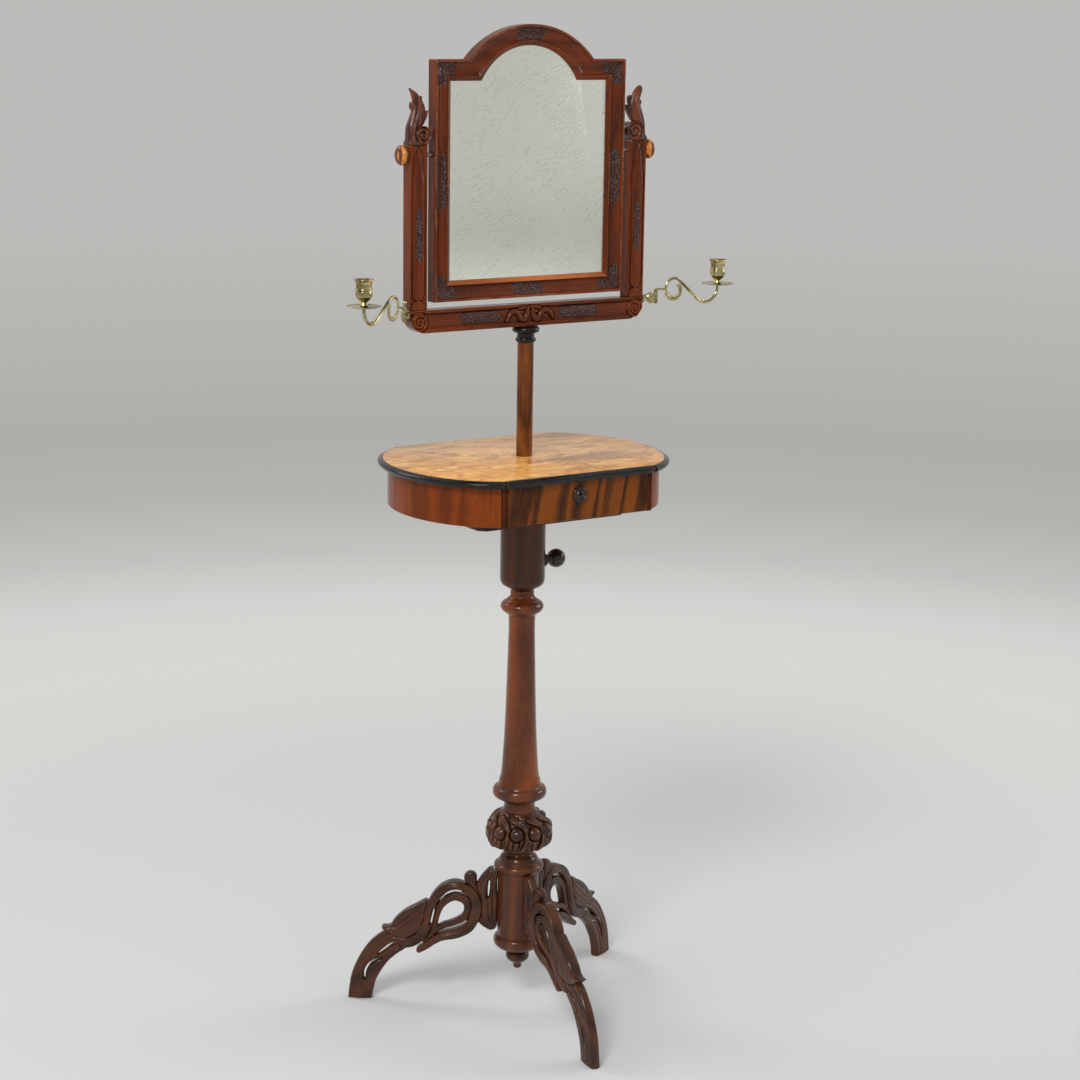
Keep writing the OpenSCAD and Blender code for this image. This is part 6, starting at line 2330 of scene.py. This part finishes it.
@dataclass
class Studio:
    """Floor, lights, world and the camera of the photograph."""

    lens: float = 80.03
    place: Station = (-2.110, -3.318, 1.727)
    yaw: float = 32.87
    pitch: float = 12.81
    roll: float = 0.865
    floor: Colour = srgb(222, 222, 219)
    backdrop: Colour = srgb(189, 188, 186)
    # Tones of the floor's glow further out, darker in the middle distance and lighter at the edge: painted
    # light falloff.
    painted_falloff: tuple[tuple[float, Colour], ...] = (
        (2.2, srgb(216, 215, 212)), (2.9, srgb(211, 212, 209)), (3.5, srgb(195, 194, 192)),
        (4.4, srgb(180, 179, 175)), (5.6, srgb(175, 173, 170)), (8.0, srgb(181, 180, 177)),
        (14.0, srgb(189, 188, 186)))
    floor_radius: float = 14.0
    floor_ends: Point = (0.9, 2.4)
    aim: Station = (0, 0, 1.0)
    lamps: tuple[tuple[str, Station, float, float], ...] = (
        ("key", (-2.9, -2.2, 3.7), 1.4, 100), ("fill", (3.6, -0.9, 2.2), 2.0, 34),
        ("rim", (-1.5, 2.6, 3.2), 1.4, 26))

    def put(self, name: str, data: bpy.types.ID, place: Matrix) -> bpy.types.Object:
        """Puts a camera, a lamp or a mesh into the scene.

        Args:
            name: Its name.
            data: What it is.
            place: Its matrix in metres.

        Returns:
            The object.
        """
        made = bpy.data.objects.new(name, data)
        made.matrix_world = place
        bpy.context.scene.collection.objects.link(made)
        return made

    def camera(self) -> None:
        """Sets up the camera."""
        yaw, pitch, roll = (math.radians(v) for v in (self.yaw, self.pitch, self.roll))
        ahead = Vector((math.sin(yaw) * math.cos(pitch), math.cos(yaw) * math.cos(pitch), -math.sin(pitch)))
        right = ahead.cross(Vector((0, 0, 1))).normalized()
        up = right.cross(ahead)
        tilted = math.cos(roll) * right + math.sin(roll) * up
        upright = -math.sin(roll) * right + math.cos(roll) * up
        data = bpy.data.cameras.new("photograph")
        data.lens, data.sensor_width = self.lens, 36.0
        turn = Matrix((tilted, upright, -ahead)).transposed().to_4x4()
        bpy.context.scene.camera = self.put("photograph", data, Matrix.Translation(self.place) @ turn)

    def lamp(self, name: str, place: Station, size: float, power: float) -> None:
        """Sets up one soft lamp that looks at the mirror.

        Args:
            name: Its name.
            place: Its place in metres.
            size: Its width in metres.
            power: Its power in watts.
        """
        data = bpy.data.lights.new(name, "AREA")
        data.shape, data.size, data.energy = "DISK", size, power
        turn = (Vector(self.aim) - Vector(place)).to_track_quat("-Z", "Y").to_matrix().to_4x4()
        self.put(name, data, Matrix.Translation(place) @ turn)

    def ground(self) -> None:
        """Builds the floor, which further out fades into a glow in painted tones of light falloff."""
        mesh = bpy.data.meshes.new("floor")
        radius, sides = self.floor_radius, 96
        ring = [(x, y, 0) for x, y in arc((0, 0), radius, 0, 360, sides)[:-1]]
        mesh.from_pydata(ring, [], [tuple(range(sides))])
        floor = self.put("floor", mesh, Matrix())
        material = bpy.data.materials.new("studio_floor")
        g = Graph.fresh(material)
        at = g.add("TexCoord").outputs["Object"]
        away = g.add("VectorMath", {0: at}, operation="LENGTH").outputs["Value"]
        cast = g.add("BsdfDiffuse", {"Color": (*self.floor, 1)})
        ramp = g.add("ValToRGB", {0: g.math("DIVIDE", away, radius)})
        stops = ramp.color_ramp.elements
        for n, (reach, colour) in enumerate(self.painted_falloff):
            stop = stops[n] if n < 2 else stops.new(1.0)
            stop.position, stop.color = reach / radius, (*colour, 1)
        glow = g.add("Emission", {"Color": ramp.outputs[0], "Strength": 1.0})
        both = g.add("MixShader", {0: g.fade(away, *self.floor_ends), 1: cast.outputs[0], 2: glow.outputs[0]})
        g.add("OutputMaterial", {"Surface": both.outputs[0]})
        mesh.materials.append(material)

    def sky(self) -> None:
        """Sets the world: soft light on the mirror, and the plain backdrop for the camera."""
        world = bpy.data.worlds.new("studio")
        bpy.context.scene.world = world
        g = Graph.fresh(world)
        path = g.add("LightPath").outputs
        seen = g.math("MAXIMUM", path["Is Camera Ray"], g.math("MAXIMUM", path["Is Glossy Ray"],
                                                               path["Is Transmission Ray"]))
        light = g.add("Background", {"Color": (0.9, 0.92, 0.95, 1), "Strength": 0.55})
        back = g.add("Background", {"Color": (*self.backdrop, 1), "Strength": 1.0})
        both = g.add("MixShader", {0: seen, 1: light.outputs[0], 2: back.outputs[0]})
        g.add("OutputWorld", {"Surface": both.outputs[0]})

    def build(self) -> None:
        """Builds the studio."""
        self.camera()
        self.ground()
        self.sky()
        for lamp in self.lamps:
            self.lamp(*lamp)
        bpy.context.scene.view_settings.view_transform = "Standard"


def main() -> None:
    """Builds every sub-assembly in order."""
    logging.basicConfig(level=logging.INFO, format="%(message)s")
    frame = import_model()
    Studio().build()
    Tripod().build()
    Column().build()
    Table().build(frame)
    Drawer().build(frame)
    Pole().build()
    Harp().build()
    Mirror().build(frame)
    TiltKnobs().build()
    arms = [CandleArm(-1, 65, 32, rise=13, ball=True), CandleArm(1, 0, 0)]
    for arm in arms:
        arm.build()
    joined(arm.bracket().placed(Matrix.Diagonal((arm.side, 1, 1, 1))) for arm in arms).piece(
        "candle_bracket_pair", "harp", Slot.BRASS, [Look.BRASS], ["candle_brackets"])
    bpy.context.view_layer.update()


if __name__ == "__main__":
    main()
